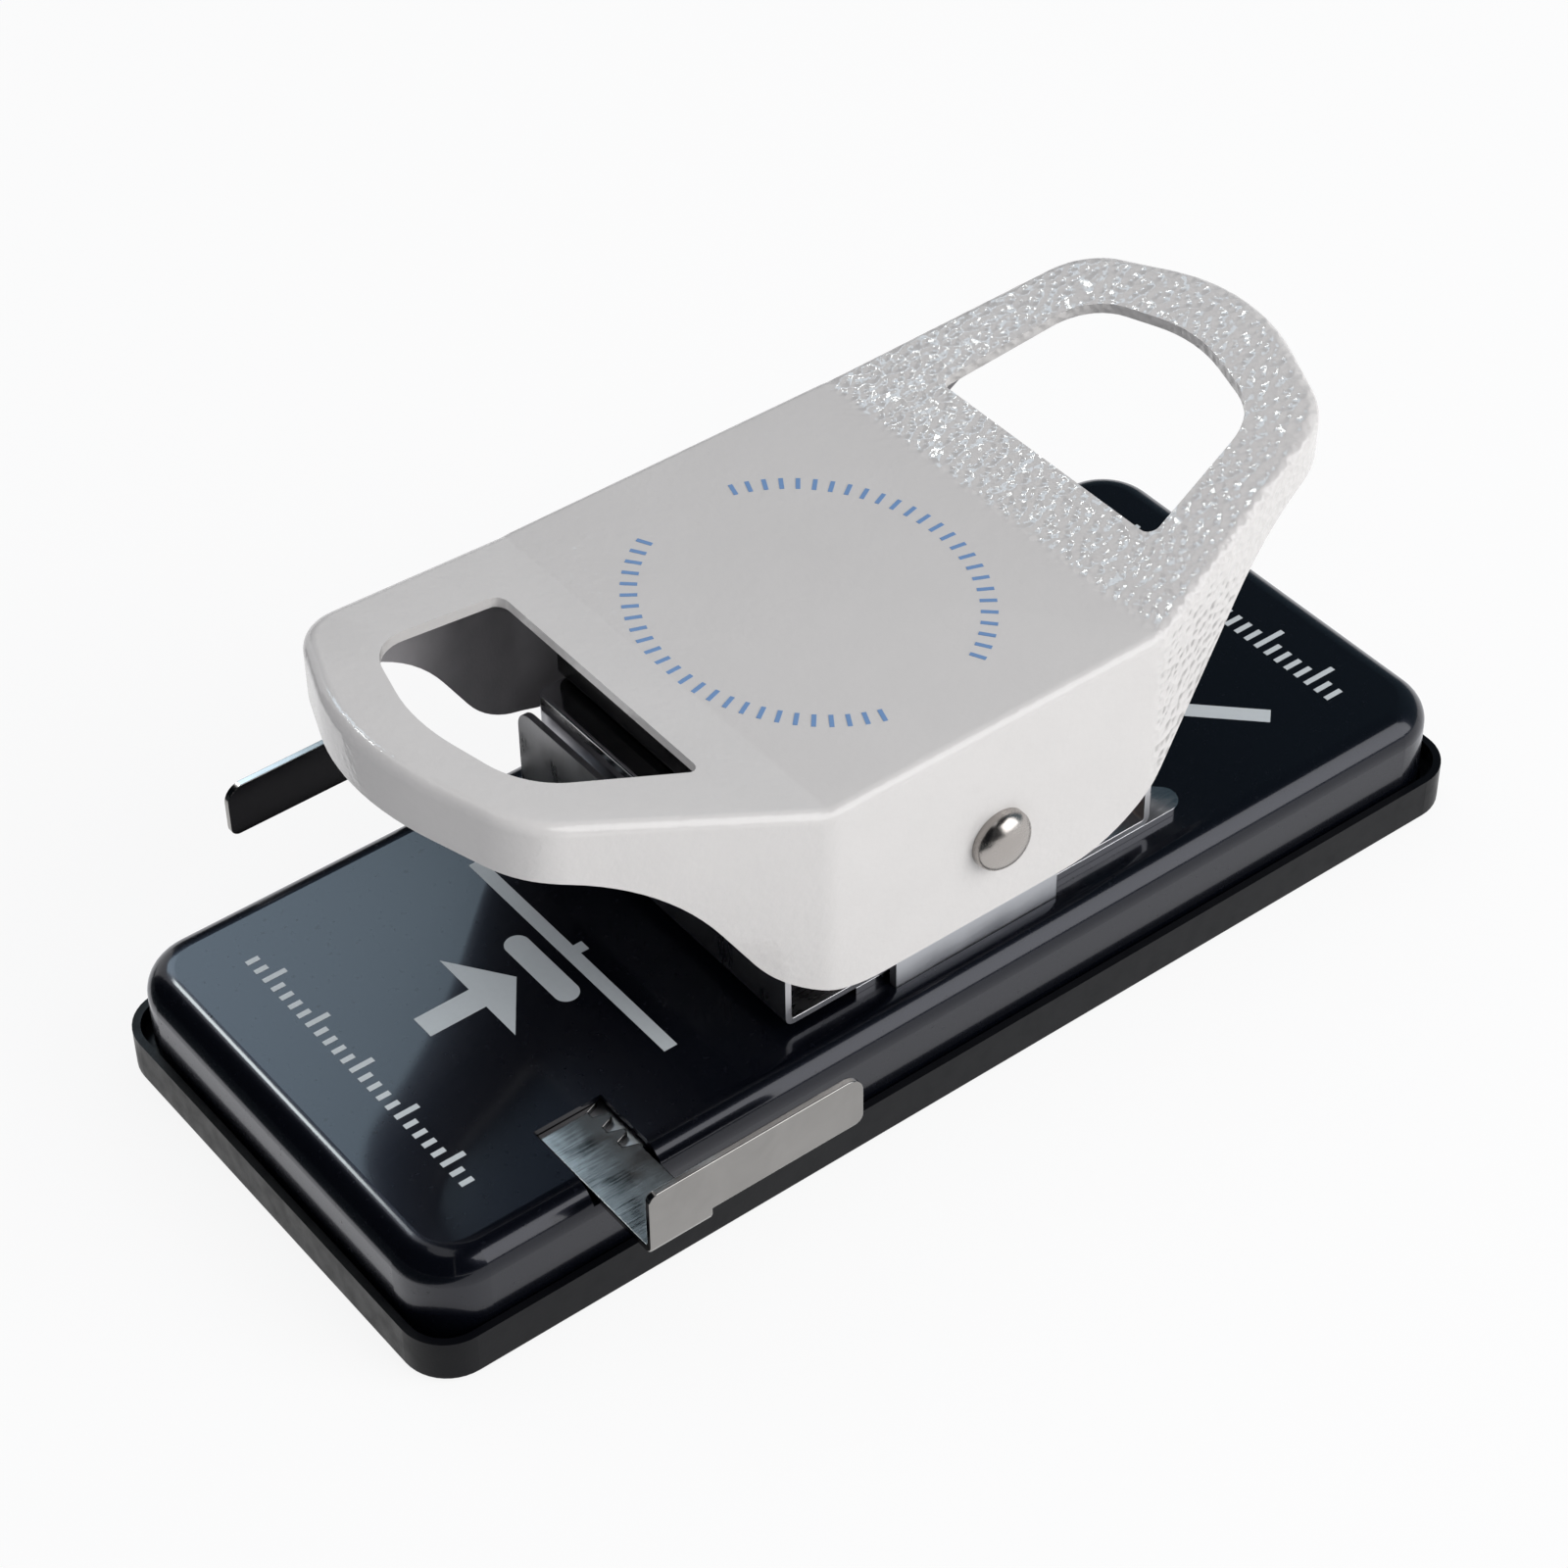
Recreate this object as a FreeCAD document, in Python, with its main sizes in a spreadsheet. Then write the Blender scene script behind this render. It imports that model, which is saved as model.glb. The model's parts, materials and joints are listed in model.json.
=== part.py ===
import FreeCAD
import Part
import Sketcher
import math
import os

# Desk punch for identity cards: a slot punch at the left end and a corner rounder at the right end,
# worked by one rocking handle. X runs along the base, Y to the back, Z up. The origin is the middle of
# the base on the table. All lengths are in millimetres.

SIZES = {
    # Chip tray under the base, with its rubber feet
    "tray_margin": 1.5,
    "tray_top": 6.9,
    "tray_wall": 1.1,
    "tray_floor": 1.6,
    "tray_corner": 6.5,
    "tray_edge": 0.5,
    "ledge_top": 4.2,
    "ledge_deep": 1.5,
    "foot_high": 0.4,
    "foot_radius": 5.0,
    "foot_sunk": 0.7,
    "foot_inset": 12.0,
    "tongue_at": 48.0,
    "tongue_wide": 12.0,
    "tongue_thick": 1.4,
    "tongue_top": 11.0,
    "tongue_gap": 0.2,
    # Pressed steel cover
    "cover_long": 168.0,
    "cover_wide": 70.5,
    "cover_top": 17.75,
    "cover_sheet": 0.8,
    "cover_corner": 8.5,
    "cover_edge": 3.9,
    # Card guides with their racks, and the pinion between them
    "pinion_x": -44.1,
    "pinion_teeth": 14.0,
    "pressure_angle": 20.0,
    "tooth_module": 1.0,
    "tooth_thin": 0.3,
    "rack_rise": 0.7,
    "tooth_deep": 1.25,
    "tooth_gaps": 12.0,
    "first_gap": 9.5,
    "guide_sheet": 1.0,
    "guide_under": 0.15,
    "guide_wide": 9.2,
    "guide_reach": 46.0,
    "guide_inner": 8.0,
    "flange_top": 26.0,
    "flange_long": 32.2,
    "flange_corner": 2.6,
    "flange_low_corner": 1.3,
    "flange_lift": 0.2,
    "bend_round": 1.4,
    "notch_inner": 22.4,
    "notch_play": 0.5,
    "bed_sheet": 1.0,
    "bed_wall": 2.0,
    "bed_play": 0.15,
    "bed_inset": 4.25,
    "stud_radius": 2.0,
    "stud_head": 3.5,
    "stud_head_high": 1.2,
    # Handle pivot, its bracket, pin and bushes
    "pivot_x": 3.5,
    "pivot_high": 38.5,
    "pin_radius": 3.0,
    "head_radius": 4.3,
    "head_rim": 0.7,
    "head_dome": 2.4,
    "ear_half": 13.3,
    "ear_gap": 1.9,
    "ear_sheet": 1.4,
    "ear_crown": 8.0,
    "ear_waist": 28.0,
    "ear_round": 6.0,
    "relief_left": 8.0,
    "relief_half": 11.0,
    "bush_wall": 1.0,
    "bush_flange": 5.5,
    "bush_flange_thick": 1.2,
    # Stack of plates on the cover
    "stack_inset": 6.75,
    "die_sheet": 1.4,
    "card_gap": 1.2,
    "frame_sheet": 1.0,
    "frame_left": -25.8,
    "frame_right": 34.6,
    "die_lip": 1.6,
    "die_plate_round": 1.0,
    "left_wall_top": 33.0,
    "right_wall_top": 31.0,
    "wall_round": 3.0,
    "prong_end": 41.2,
    "prong_outer_round": 2.6,
    "prong_inner_round": 2.0,
    "vee_apex": 16.2,
    # Cutting tools
    "lever": 22.6,
    "slot_long": 14.0,
    "slot_wide": 3.0,
    "slot_inset": 4.5,
    "slot_die_half": 5.0,
    "slot_die_deep_half": 10.5,
    "corner_radius": 5.0,
    "blade_left": 13.4,
    "blade_right": 20.8,
    "blade_half": 5.8,
    "corner_die_left": 11.4,
    "corner_die_right": 24.4,
    "corner_die_half": 9.5,
    "die_deep": 4.0,
    "cut_play": 0.1,
    "strip_play": 0.2,
    "tip_lift": 0.35,
    # Carriers of the punches, their guide pins, bushes and springs
    "carrier_top": 36.8,
    "carrier_high": 6.0,
    "carrier_inset": 2.5,
    "carrier_wide": 17.6,
    "carrier_play": 0.6,
    "carrier_round": 1.0,
    "carrier_edge": 0.5,
    "guide_pin_radius": 2.5,
    "guide_pin_low": 13.5,
    "guide_pin_sunk": 4.0,
    "guide_pin_inset": 9.5,
    "slot_pin_x": -10.6,
    "running_play": 0.05,
    "guide_bush_radius": 3.5,
    "guide_bush_low": 13.0,
    "guide_bush_top": 27.1,
    "wire_radius": 0.45,
    "coil_radius": 4.4,
    "coil_turns": 4.5,
    "seat_gap": 0.05,
    # Screws through the stack
    "screw_radius": 1.5,
    "screw_head": 2.9,
    "screw_head_high": 2.0,
    "screw_low": 13.2,
    "screw_apart": 5.5,
    "screw_inset": 7.5,
    "drive_radius": 1.2,
    "drive_deep": 1.2,
    # Handle
    "panel_top": 57.3,
    "skirt_inset": 1.25,
    "crease_at": 26.2,
    "crease_round": 4.0,
    "rise_angle": 16.9,
    "flank_round": 9.6,
    "shoulder_x": 62.9,
    "shoulder_in": 10.5,
    "shoulder_round": 11.3,
    "tip_x": 72.4,
    "tip_share": 0.491,
    "skirt_low": 26.3,
    "left_belly_end": 29.8,
    "left_belly_round": 21.0,
    "left_sweep_end": 47.3,
    "left_sweep_round": 37.0,
    "left_rim_deep": 8.8,
    "right_belly_end": 20.0,
    "right_belly_round": 20.0,
    "right_sweep_end": 49.0,
    "right_sweep_round": 30.0,
    "right_rim_deep": 6.4,
    "shell_wall": 1.5,
    "top_round": 1.5,
    "window_inner": 35.3,
    "window_rim": 13.1,
    "window_shoulder_x": 57.3,
    "window_shoulder_in": 17.8,
    "window_tip": 61.8,
    "window_inner_round": 1.5,
    "window_shoulder_round": 9.3,
    "window_tip_share": 0.37,
    "press_sheet": 3.0,
    "press_round": 1.4,
    "press_gap": 0.3,
}

POINTS_ON_COIL = 240
POINTS_ON_FLANK = 5

# How near two coordinates lie to be the same, and how far a face looks up or sideways
SAME_PLACE = 1e-4
LOOKS_UP = 0.8
LOOKS_SIDEWAYS = 0.1

UP = FreeCAD.Vector(0, 0, 1)


def make_sheet(doc):
    sheet = doc.addObject("Spreadsheet::Sheet", "Sizes")
    for row, (alias, size) in enumerate(SIZES.items(), start=1):
        sheet.set(f"A{row}", alias)
        sheet.set(f"B{row}", str(size))
        sheet.setAlias(f"B{row}", alias)
    doc.recompute()
    return sheet


def size(text):
    """Put the sheet's name before each alias in a formula."""
    words = []
    word = ""
    for letter in text + " ":
        if letter.isalpha() or letter == "_":
            word += letter
            continue
        words.append(f"Sizes.{word}" if word in SIZES else word)
        words.append(letter)
        word = ""
    return "".join(words).strip()


def value(owner, text):
    """Work out a formula of sheet aliases."""
    result = owner.evalExpression(size(text))
    return float(getattr(result, "Value", result))


def bind(owner, prop, text):
    owner.setExpression(prop, size(text))


# Derived lengths, written as formulas of the sheet
TRAY_HALF_LONG = "(cover_long / 2 + tray_margin)"
TRAY_HALF_WIDE = "(cover_wide / 2 + tray_margin)"
STACK_HALF = "(cover_wide / 2 - stack_inset)"
CARRIER_HALF = "(cover_wide / 2 - stack_inset - carrier_inset)"
GUIDE_PIN_Y = "(cover_wide / 2 - stack_inset - guide_pin_inset)"
SCREW_Y = "(cover_wide / 2 - stack_inset - screw_inset)"
BED_HALF = "(cover_wide / 2 - bed_inset)"
PANEL_HALF = "(cover_wide / 2 - skirt_inset)"
SHOULDER_Y = "(cover_wide / 2 - skirt_inset - shoulder_in)"
WINDOW_HALF = "(cover_wide / 2 - skirt_inset - window_rim)"
WINDOW_SHOULDER_Y = "(cover_wide / 2 - skirt_inset - window_shoulder_in)"
EAR_OUTER = "(cover_wide / 2 - skirt_inset - shell_wall - ear_gap)"

# Reach of cuts that pass right through
BEYOND = "(2 * tip_x)"
COVER_UNDER = "cover_top - cover_sheet"
GUIDE_TOP = "cover_top - cover_sheet - guide_under"
GUIDE_LOW = "cover_top - cover_sheet - guide_under - guide_sheet"
GUIDE_EDGE = "(pinion_x - tooth_module * pinion_teeth / 2 + rack_rise)"
GUIDE_BACK = "(pinion_x - tooth_module * pinion_teeth / 2 + rack_rise - guide_wide)"
BED_REACH = "(tooth_module * pinion_teeth / 2 - rack_rise + guide_wide + bed_play + bed_wall)"
WEB_LOW = "(cover_top - cover_sheet - ear_sheet)"
DIE_PLATE_LOW = "(cover_top - cover_sheet - ear_sheet - die_sheet)"
DIE_LOW = "(cover_top - die_deep)"
GAP_TOP = "(cover_top + card_gap)"
FRAME_TOP = "(cover_top + card_gap + frame_sheet)"
PUNCH_TIP = "(cover_top + card_gap + tip_lift)"
SLOT_X = "(pivot_x - lever)"
CORNER_X = "(pivot_x + lever)"
CUT_X = "(vee_apex + corner_radius * sqrt(2))"
CARRIER_LOW = "(carrier_top - carrier_high)"
SLOT_CARRIER_LEFT = "(frame_left + frame_sheet + carrier_play)"
CORNER_CARRIER_LEFT = "blade_left"
RISE = "tan(rise_angle * 1 deg)"


def negative(text):
    return f"-({text})"


def mirrored(corners):
    """The corners and their mirror images across the sheet's second axis, in order round the outline."""
    return corners + [(negative(corner[0]),) + corner[1:] for corner in reversed(corners)]


def rectangle(left, low, right, high, rounding=None):
    corners = [(left, low), (right, low), (right, high), (left, high)]
    if rounding is None:
        return corners
    return [corner + (rounding,) for corner in corners]


def middle_rectangle(half_x, half_y, rounding=None):
    return rectangle(negative(half_x), negative(half_y), half_x, half_y, rounding)


def circle(x, y, radius):
    return {"x": x, "y": y, "radius": radius}


def capsule(x, y, half_long, half_wide):
    """Slot with round ends, its long way along the second axis."""
    left = f"{x} - {half_wide}"
    right = f"{x} + {half_wide}"
    return {"left": left, "right": right, "low": f"{y} - {half_long} + {half_wide}",
            "high": f"{y} + {half_long} - {half_wide}", "x": x, "half_wide": half_wide}


def constrain(sketch, constraint, text):
    index = sketch.addConstraint(constraint)
    bind(sketch, f"Constraints[{index}]", text)


def pin_point(sketch, geometry, point, place, texts):
    """Hold a point of the sketch at the given formulas of the two axes."""
    constrain(sketch, Sketcher.Constraint("DistanceX", -1, 1, geometry, point, place.x), texts[0])
    constrain(sketch, Sketcher.Constraint("DistanceY", -1, 1, geometry, point, place.y), texts[1])


def draw_circle(sketch, loop):
    centre = FreeCAD.Vector(value(sketch, loop["x"]), value(sketch, loop["y"]), 0)
    radius = value(sketch, loop["radius"])
    ring = sketch.addGeometry(Part.Circle(centre, UP, radius), False)
    constrain(sketch, Sketcher.Constraint("Radius", ring, radius), loop["radius"])
    pin_point(sketch, ring, 3, centre, (loop["x"], loop["y"]))


def draw_capsule(sketch, loop):
    low = FreeCAD.Vector(value(sketch, loop["x"]), value(sketch, loop["low"]), 0)
    high = FreeCAD.Vector(value(sketch, loop["x"]), value(sketch, loop["high"]), 0)
    radius = value(sketch, loop["half_wide"])
    side = FreeCAD.Vector(radius, 0, 0)
    right = sketch.addGeometry(Part.LineSegment(low + side, high + side), False)
    top = sketch.addGeometry(Part.ArcOfCircle(Part.Circle(high, UP, radius), 0, math.pi), False)
    left = sketch.addGeometry(Part.LineSegment(high - side, low - side), False)
    foot = sketch.addGeometry(Part.ArcOfCircle(Part.Circle(low, UP, radius), math.pi, 2 * math.pi), False)
    for first, second in ((right, top), (top, left), (left, foot), (foot, right)):
        sketch.addConstraint(Sketcher.Constraint("Tangent", first, 2, second, 1))
    constrain(sketch, Sketcher.Constraint("Radius", top, radius), loop["half_wide"])
    pin_point(sketch, top, 3, high, (loop["x"], loop["high"]))
    pin_point(sketch, foot, 3, low, (loop["x"], loop["low"]))


def meeting(first, second):
    """Where two lines meet, each given by a point and a direction."""
    point, way = first
    other, other_way = second
    share = (other - point).cross(other_way).z / way.cross(other_way).z
    return point + way * share


def inset_points(points, wall):
    """Corner points of the outline moved inwards by the wall, for corners in anticlockwise order."""
    lines = []
    for index, point in enumerate(points):
        way = (points[(index + 1) % len(points)] - point).normalize()
        inwards = UP.cross(way)
        lines.append((point + inwards * wall, way))
    return [meeting(lines[index - 1], lines[index]) for index in range(len(points))]


def draw_arc(sketch, points, index, radius, before, after):
    """Round one corner of an outline between its two lines."""
    corner = points[index]
    back = (points[index - 1] - corner).normalize()
    ahead = (points[(index + 1) % len(points)] - corner).normalize()
    half = back.getAngle(ahead) / 2
    centre = corner + (back + ahead).normalize() * (radius / math.sin(half))
    reach = radius / math.tan(half)
    turns_left = back.cross(ahead).z < 0
    ends = [corner + back * reach, corner + ahead * reach]
    if not turns_left:
        ends.reverse()
    angles = [math.atan2((end - centre).y, (end - centre).x) for end in ends]
    if angles[1] < angles[0]:
        angles[1] += 2 * math.pi
    arc = sketch.addGeometry(Part.ArcOfCircle(Part.Circle(centre, UP, radius), *angles), False)
    first, last = (1, 2) if turns_left else (2, 1)
    sketch.addConstraint(Sketcher.Constraint("Tangent", before, 2, arc, first))
    sketch.addConstraint(Sketcher.Constraint("Tangent", arc, last, after, 1))
    return arc


def draw_outline(sketch, corners, wall=None):
    """Closed outline of straight lines with square or rounded corners, moved inwards by a wall if given."""
    count = len(corners)
    outer = [FreeCAD.Vector(value(sketch, corner[0]), value(sketch, corner[1]), 0) for corner in corners]
    shift = value(sketch, wall) if wall else 0
    points = inset_points(outer, shift) if wall else outer
    radii = [value(sketch, corner[2]) - shift if len(corner) > 2 else 0 for corner in corners]
    reaches = []
    for index, point in enumerate(points):
        back = points[index - 1] - point
        ahead = points[(index + 1) % count] - point
        reaches.append(radii[index] / math.tan(back.getAngle(ahead) / 2))
    lines = []
    for index, point in enumerate(points):
        following = points[(index + 1) % count]
        way = FreeCAD.Vector(following - point).normalize()
        start = point + way * reaches[index]
        end = following - way * reaches[(index + 1) % count]
        lines.append(sketch.addGeometry(Part.LineSegment(start, end), False))
    for index, corner in enumerate(corners):
        before = lines[index - 1]
        after = lines[index]
        if not radii[index]:
            sketch.addConstraint(Sketcher.Constraint("Coincident", before, 2, after, 1))
            if not wall:
                pin_point(sketch, after, 1, points[index], corner[:2])
            continue
        arc = draw_arc(sketch, points, index, radii[index], before, after)
        radius_text = f"{corner[2]} - {wall}" if wall else corner[2]
        constrain(sketch, Sketcher.Constraint("Radius", arc, radii[index]), radius_text)
        if not wall:
            mark = sketch.addGeometry(Part.Point(points[index]), True)
            sketch.addConstraint(Sketcher.Constraint("PointOnObject", mark, 1, before))
            sketch.addConstraint(Sketcher.Constraint("PointOnObject", mark, 1, after))
            pin_point(sketch, mark, 1, points[index], corner[:2])
    if wall:
        hold_inset(sketch, corners, outer, lines, wall, shift)


def hold_inset(sketch, corners, outer, lines, wall, shift):
    """Keep the lines of an outline parallel to the construction lines that they are set in from."""
    guides = []
    for index, point in enumerate(outer):
        following = outer[(index + 1) % len(outer)]
        guides.append(sketch.addGeometry(Part.LineSegment(point, following), True))
    for index, corner in enumerate(corners):
        sketch.addConstraint(Sketcher.Constraint("Coincident", guides[index - 1], 2, guides[index], 1))
        pin_point(sketch, guides[index], 1, outer[index], corner[:2])
        sketch.addConstraint(Sketcher.Constraint("Parallel", lines[index], guides[index]))
        gap = Sketcher.Constraint("Distance", lines[index], 1, guides[index], shift)
        constrain(sketch, gap, wall)


def draw(sketch, loops, wall=None):
    for loop in loops:
        if isinstance(loop, list):
            draw_outline(sketch, loop, wall)
        elif "radius" in loop:
            draw_circle(sketch, loop)
        else:
            draw_capsule(sketch, loop)


def new_body(doc, label):
    body = doc.addObject("PartDesign::Body", label)
    body.Label = label
    return body


def new_sketch(body, name, role, level=None):
    """Sketch on one of the body's own origin planes, moved along its normal to the level."""
    sketch = body.newObject("Sketcher::SketchObject", name)
    plane = [item for item in body.Origin.OriginFeatures if item.Role == role][0]
    sketch.AttachmentSupport = (plane, [""])
    sketch.MapMode = "FlatFace"
    if level is not None:
        bind(sketch, "AttachmentOffset.Base.z", level)
    return sketch


def pad(body, name, loops, low, high, role="XY_Plane"):
    """Add material between two levels along the sketch's normal."""
    sketch = new_sketch(body, name + "Sketch", role, low)
    draw(sketch, loops)
    feature = body.newObject("PartDesign::Pad", name)
    feature.Profile = sketch
    bind(feature, "Length", f"({high}) - ({low})")
    body.Document.recompute()
    return feature


def cut(body, name, loops, low, high, role="XY_Plane", wall=None):
    """Take material away between two levels along the sketch's normal, and insist that some went."""
    before = body.Shape.Volume
    sketch = new_sketch(body, name + "Sketch", role, low)
    draw(sketch, loops, wall)
    feature = body.newObject("PartDesign::Pocket", name)
    feature.Profile = sketch
    feature.Reversed = True
    bind(feature, "Length", f"({high}) - ({low})")
    body.Document.recompute()
    if feature.Shape.isNull() or feature.Shape.Volume >= before:
        raise RuntimeError(f"{body.Label}: {name} takes nothing away")
    return feature


def round_edges(body, name, test, radius):
    """Round each edge of the body whose shape passes the test."""
    base = body.Tip
    names = [f"Edge{index}" for index, edge in enumerate(base.Shape.Edges, start=1) if test(edge)]
    if not names:
        raise RuntimeError(f"{body.Label}: {name} finds no edges")
    feature = body.newObject("PartDesign::Fillet", name)
    feature.Base = (base, names)
    bind(feature, "Radius", radius)
    body.Document.recompute()
    return feature


def near(first, second):
    return abs(first - second) < SAME_PLACE


def at_level(level):
    """Test for edges that lie wholly at one height."""
    return lambda edge: near(edge.BoundBox.ZMin, level) and near(edge.BoundBox.ZMax, level)


def cylinder(doc, name, radius, x, y, low, high, along_y=False):
    """Round bar between two levels, upright or along Y."""
    item = doc.addObject("Part::Cylinder", name)
    bind(item, "Radius", radius)
    bind(item, "Height", f"({high}) - ({low})")
    if along_y:
        item.Placement = FreeCAD.Placement(FreeCAD.Vector(), FreeCAD.Rotation(FreeCAD.Vector(1, 0, 0), -90))
        places = (x, low, y)
    else:
        places = (x, y, low)
    for axis, text in zip("xyz", places):
        bind(item, f"Placement.Base.{axis}", text)
    return item


def combine(doc, kind, name, items):
    item = doc.addObject(kind, name)
    if kind == "Part::Compound":
        item.Links = items
    else:
        item.Shapes = items
    return item


def subtract(doc, name, base, tool):
    item = doc.addObject("Part::Cut", name)
    item.Base = base
    item.Tool = tool
    return item


def tube(doc, name, outer, inner, x, y, low, high, along_y=False):
    wall = cylinder(doc, name + "Wall", outer, x, y, low, high, along_y)
    bore = cylinder(doc, name + "Bore", inner, x, y, low, high, along_y)
    return subtract(doc, name, wall, bore)


# Base

def make_chip_tray(doc):
    body = new_body(doc, "chip_tray")
    outline = middle_rectangle(TRAY_HALF_LONG, TRAY_HALF_WIDE, "tray_corner")
    pad(body, "Block", [outline], "foot_high", "tray_top")
    low = value(body, "foot_high")
    round_edges(body, "LowerRound", at_level(low), "tray_edge")
    cut(body, "Hollow", [outline], "foot_high + tray_floor", "tray_top", wall="(tray_wall + ledge_deep)")
    cut(body, "Rebate", [outline], "ledge_top", "tray_top", wall="tray_wall")
    cut(body, "FootSeats", foot_circles("foot_radius"), "foot_high", "foot_high + foot_sunk")
    pad(body, "Tongues", tongue_outlines(), "foot_high + tray_floor", "tongue_top")
    return body


def tongue_outlines():
    outer = "(cover_wide / 2 - cover_sheet - tongue_gap)"
    inner = f"({outer} - tongue_thick)"
    tongues = []
    for x in ("tongue_at", "-tongue_at"):
        left = f"{x} - tongue_wide / 2"
        right = f"{x} + tongue_wide / 2"
        tongues.append(rectangle(left, inner, right, outer))
        tongues.append(rectangle(left, negative(outer), right, negative(inner)))
    return tongues


def foot_circles(radius):
    x = f"({TRAY_HALF_LONG} - foot_inset)"
    y = f"({TRAY_HALF_WIDE} - foot_inset)"
    return [circle(place_x, place_y, radius)
            for place_x in (x, negative(x)) for place_y in (y, negative(y))]


def make_feet(doc):
    pieces = []
    top = "foot_high + foot_sunk"
    for index, place in enumerate(foot_circles("foot_radius")):
        pieces.append(cylinder(doc, f"Foot{index}", "foot_radius", place["x"], place["y"], "0", top))
    return combine(doc, "Part::Compound", "rubber_feet", pieces)


def make_cover(doc):
    body = new_body(doc, "base_cover")
    outline = middle_rectangle("cover_long / 2", "cover_wide / 2", "cover_corner")
    pad(body, "Block", [outline], "ledge_top", "cover_top")
    cut(body, "Hollow", [outline], "ledge_top", COVER_UNDER, wall="cover_sheet")
    round_edges(body, "InnerRound", at_level(value(body, COVER_UNDER)), "cover_edge - cover_sheet")
    round_edges(body, "OuterRound", at_level(value(body, "cover_top")), "cover_edge")
    cut(body, "TopHoles", cover_holes(), COVER_UNDER + " - cover_edge", "cover_top")
    notch_left = f"({GUIDE_BACK} - notch_play)"
    notch_right = f"({GUIDE_EDGE} + notch_play)"
    notch_low = f"{GUIDE_LOW} - notch_play"
    front = rectangle(notch_left, "-cover_wide", notch_right, "-notch_inner")
    back = rectangle(f"2 * pinion_x - {notch_right}", "notch_inner",
                     f"2 * pinion_x - {notch_left}", "cover_wide")
    cut(body, "GuideNotches", [front, back], notch_low, "cover_top")
    return body


def cover_holes():
    """Openings in the cover's top for the dies, bushes, screws and the bracket's ears."""
    ear_left = "pivot_x - ear_half - bed_play"
    ear_right = "pivot_x + ear_half + bed_play"
    ear_near = f"{EAR_OUTER} + bed_play"
    ear_far = f"{EAR_OUTER} - ear_sheet - bed_play"
    ears = [rectangle(ear_left, ear_far, ear_right, ear_near),
            rectangle(ear_left, negative(ear_near), ear_right, negative(ear_far))]
    return ears + die_windows() + bush_circles("guide_bush_radius") + screw_circles("screw_radius")


def die_windows():
    slot = rectangle(f"{SLOT_X} - slot_die_half", "-slot_die_deep_half", f"{SLOT_X} + slot_die_half",
                     "slot_die_deep_half")
    corner = rectangle("corner_die_left", "-corner_die_half", "corner_die_right", "corner_die_half")
    return [slot, corner]


def bush_circles(radius):
    return slot_bush_circles(radius) + corner_bush_circles(radius)


def slot_bush_circles(radius):
    return [circle("slot_pin_x", y, radius) for y in (GUIDE_PIN_Y, negative(GUIDE_PIN_Y))]


def corner_bush_circles(radius):
    return [circle(CORNER_X, y, radius) for y in (GUIDE_PIN_Y, negative(GUIDE_PIN_Y))]


def screw_circles(radius):
    return [circle(x, y, radius)
            for x in ("pivot_x - screw_apart", "pivot_x + screw_apart") for y in (SCREW_Y, negative(SCREW_Y))]


# Card guides

def make_guide(doc, label, turned):
    """Bent sheet with a rack along its inner edge; the back guide is the front one turned half round."""
    body = new_body(doc, label)
    lifted = "cover_top + flange_lift"
    inside = "guide_sheet - guide_reach"
    bent = [("-guide_reach", GUIDE_LOW, "bend_round"), ("guide_inner", GUIDE_LOW),
            ("guide_inner", GUIDE_TOP), (inside, GUIDE_TOP, "bend_round - guide_sheet"),
            (inside, lifted), ("-guide_reach", lifted)]
    pad(body, "Plate", [bent], GUIDE_BACK, GUIDE_EDGE, "YZ_Plane")
    right = f"{GUIDE_BACK} + flange_long"
    flange = [(GUIDE_BACK, lifted), (right, lifted, "flange_low_corner"),
              (right, "flange_top", "flange_corner"), (GUIDE_BACK, "flange_top", "flange_low_corner")]
    pad(body, "Flange", [flange], "guide_reach - guide_sheet", "guide_reach", "XZ_Plane")
    cut_rack(body)
    if turned:
        body.Placement.Rotation = FreeCAD.Rotation(UP, 180)
        bind(body, "Placement.Base.x", "2 * pinion_x")
    return body


def cut_rack(body):
    """Row of trapezium gaps, at the pitch of the pinion's teeth."""
    slope = "tan(pressure_angle * 1 deg)"
    half_pitch_gap = "(tooth_module * pi / 4 + tooth_thin / 2)"
    centre = "(-first_gap * tooth_module * pi)"
    tip = f"({half_pitch_gap} + rack_rise * {slope})"
    root = f"({half_pitch_gap} - tooth_deep * tooth_module * {slope})"
    inner = f"{GUIDE_EDGE} - rack_rise - tooth_deep * tooth_module"
    corners = [(GUIDE_EDGE, f"{centre} - {tip}"), (GUIDE_EDGE, f"{centre} + {tip}"),
               (inner, f"{centre} + {root}"), (inner, f"{centre} - {root}")]
    gap = cut(body, "ToothGap", [corners], GUIDE_LOW, GUIDE_TOP)
    row = body.newObject("PartDesign::LinearPattern", "ToothGaps")
    row.Originals = [gap]
    axis = [item for item in body.Origin.OriginFeatures if item.Role == "Y_Axis"][0]
    row.Direction = (axis, [""])
    row.Occurrences = int(value(body, "tooth_gaps"))
    bind(row, "Length", "(tooth_gaps - 1) * tooth_module * pi")
    body.Tip = row
    body.Document.recompute()


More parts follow.
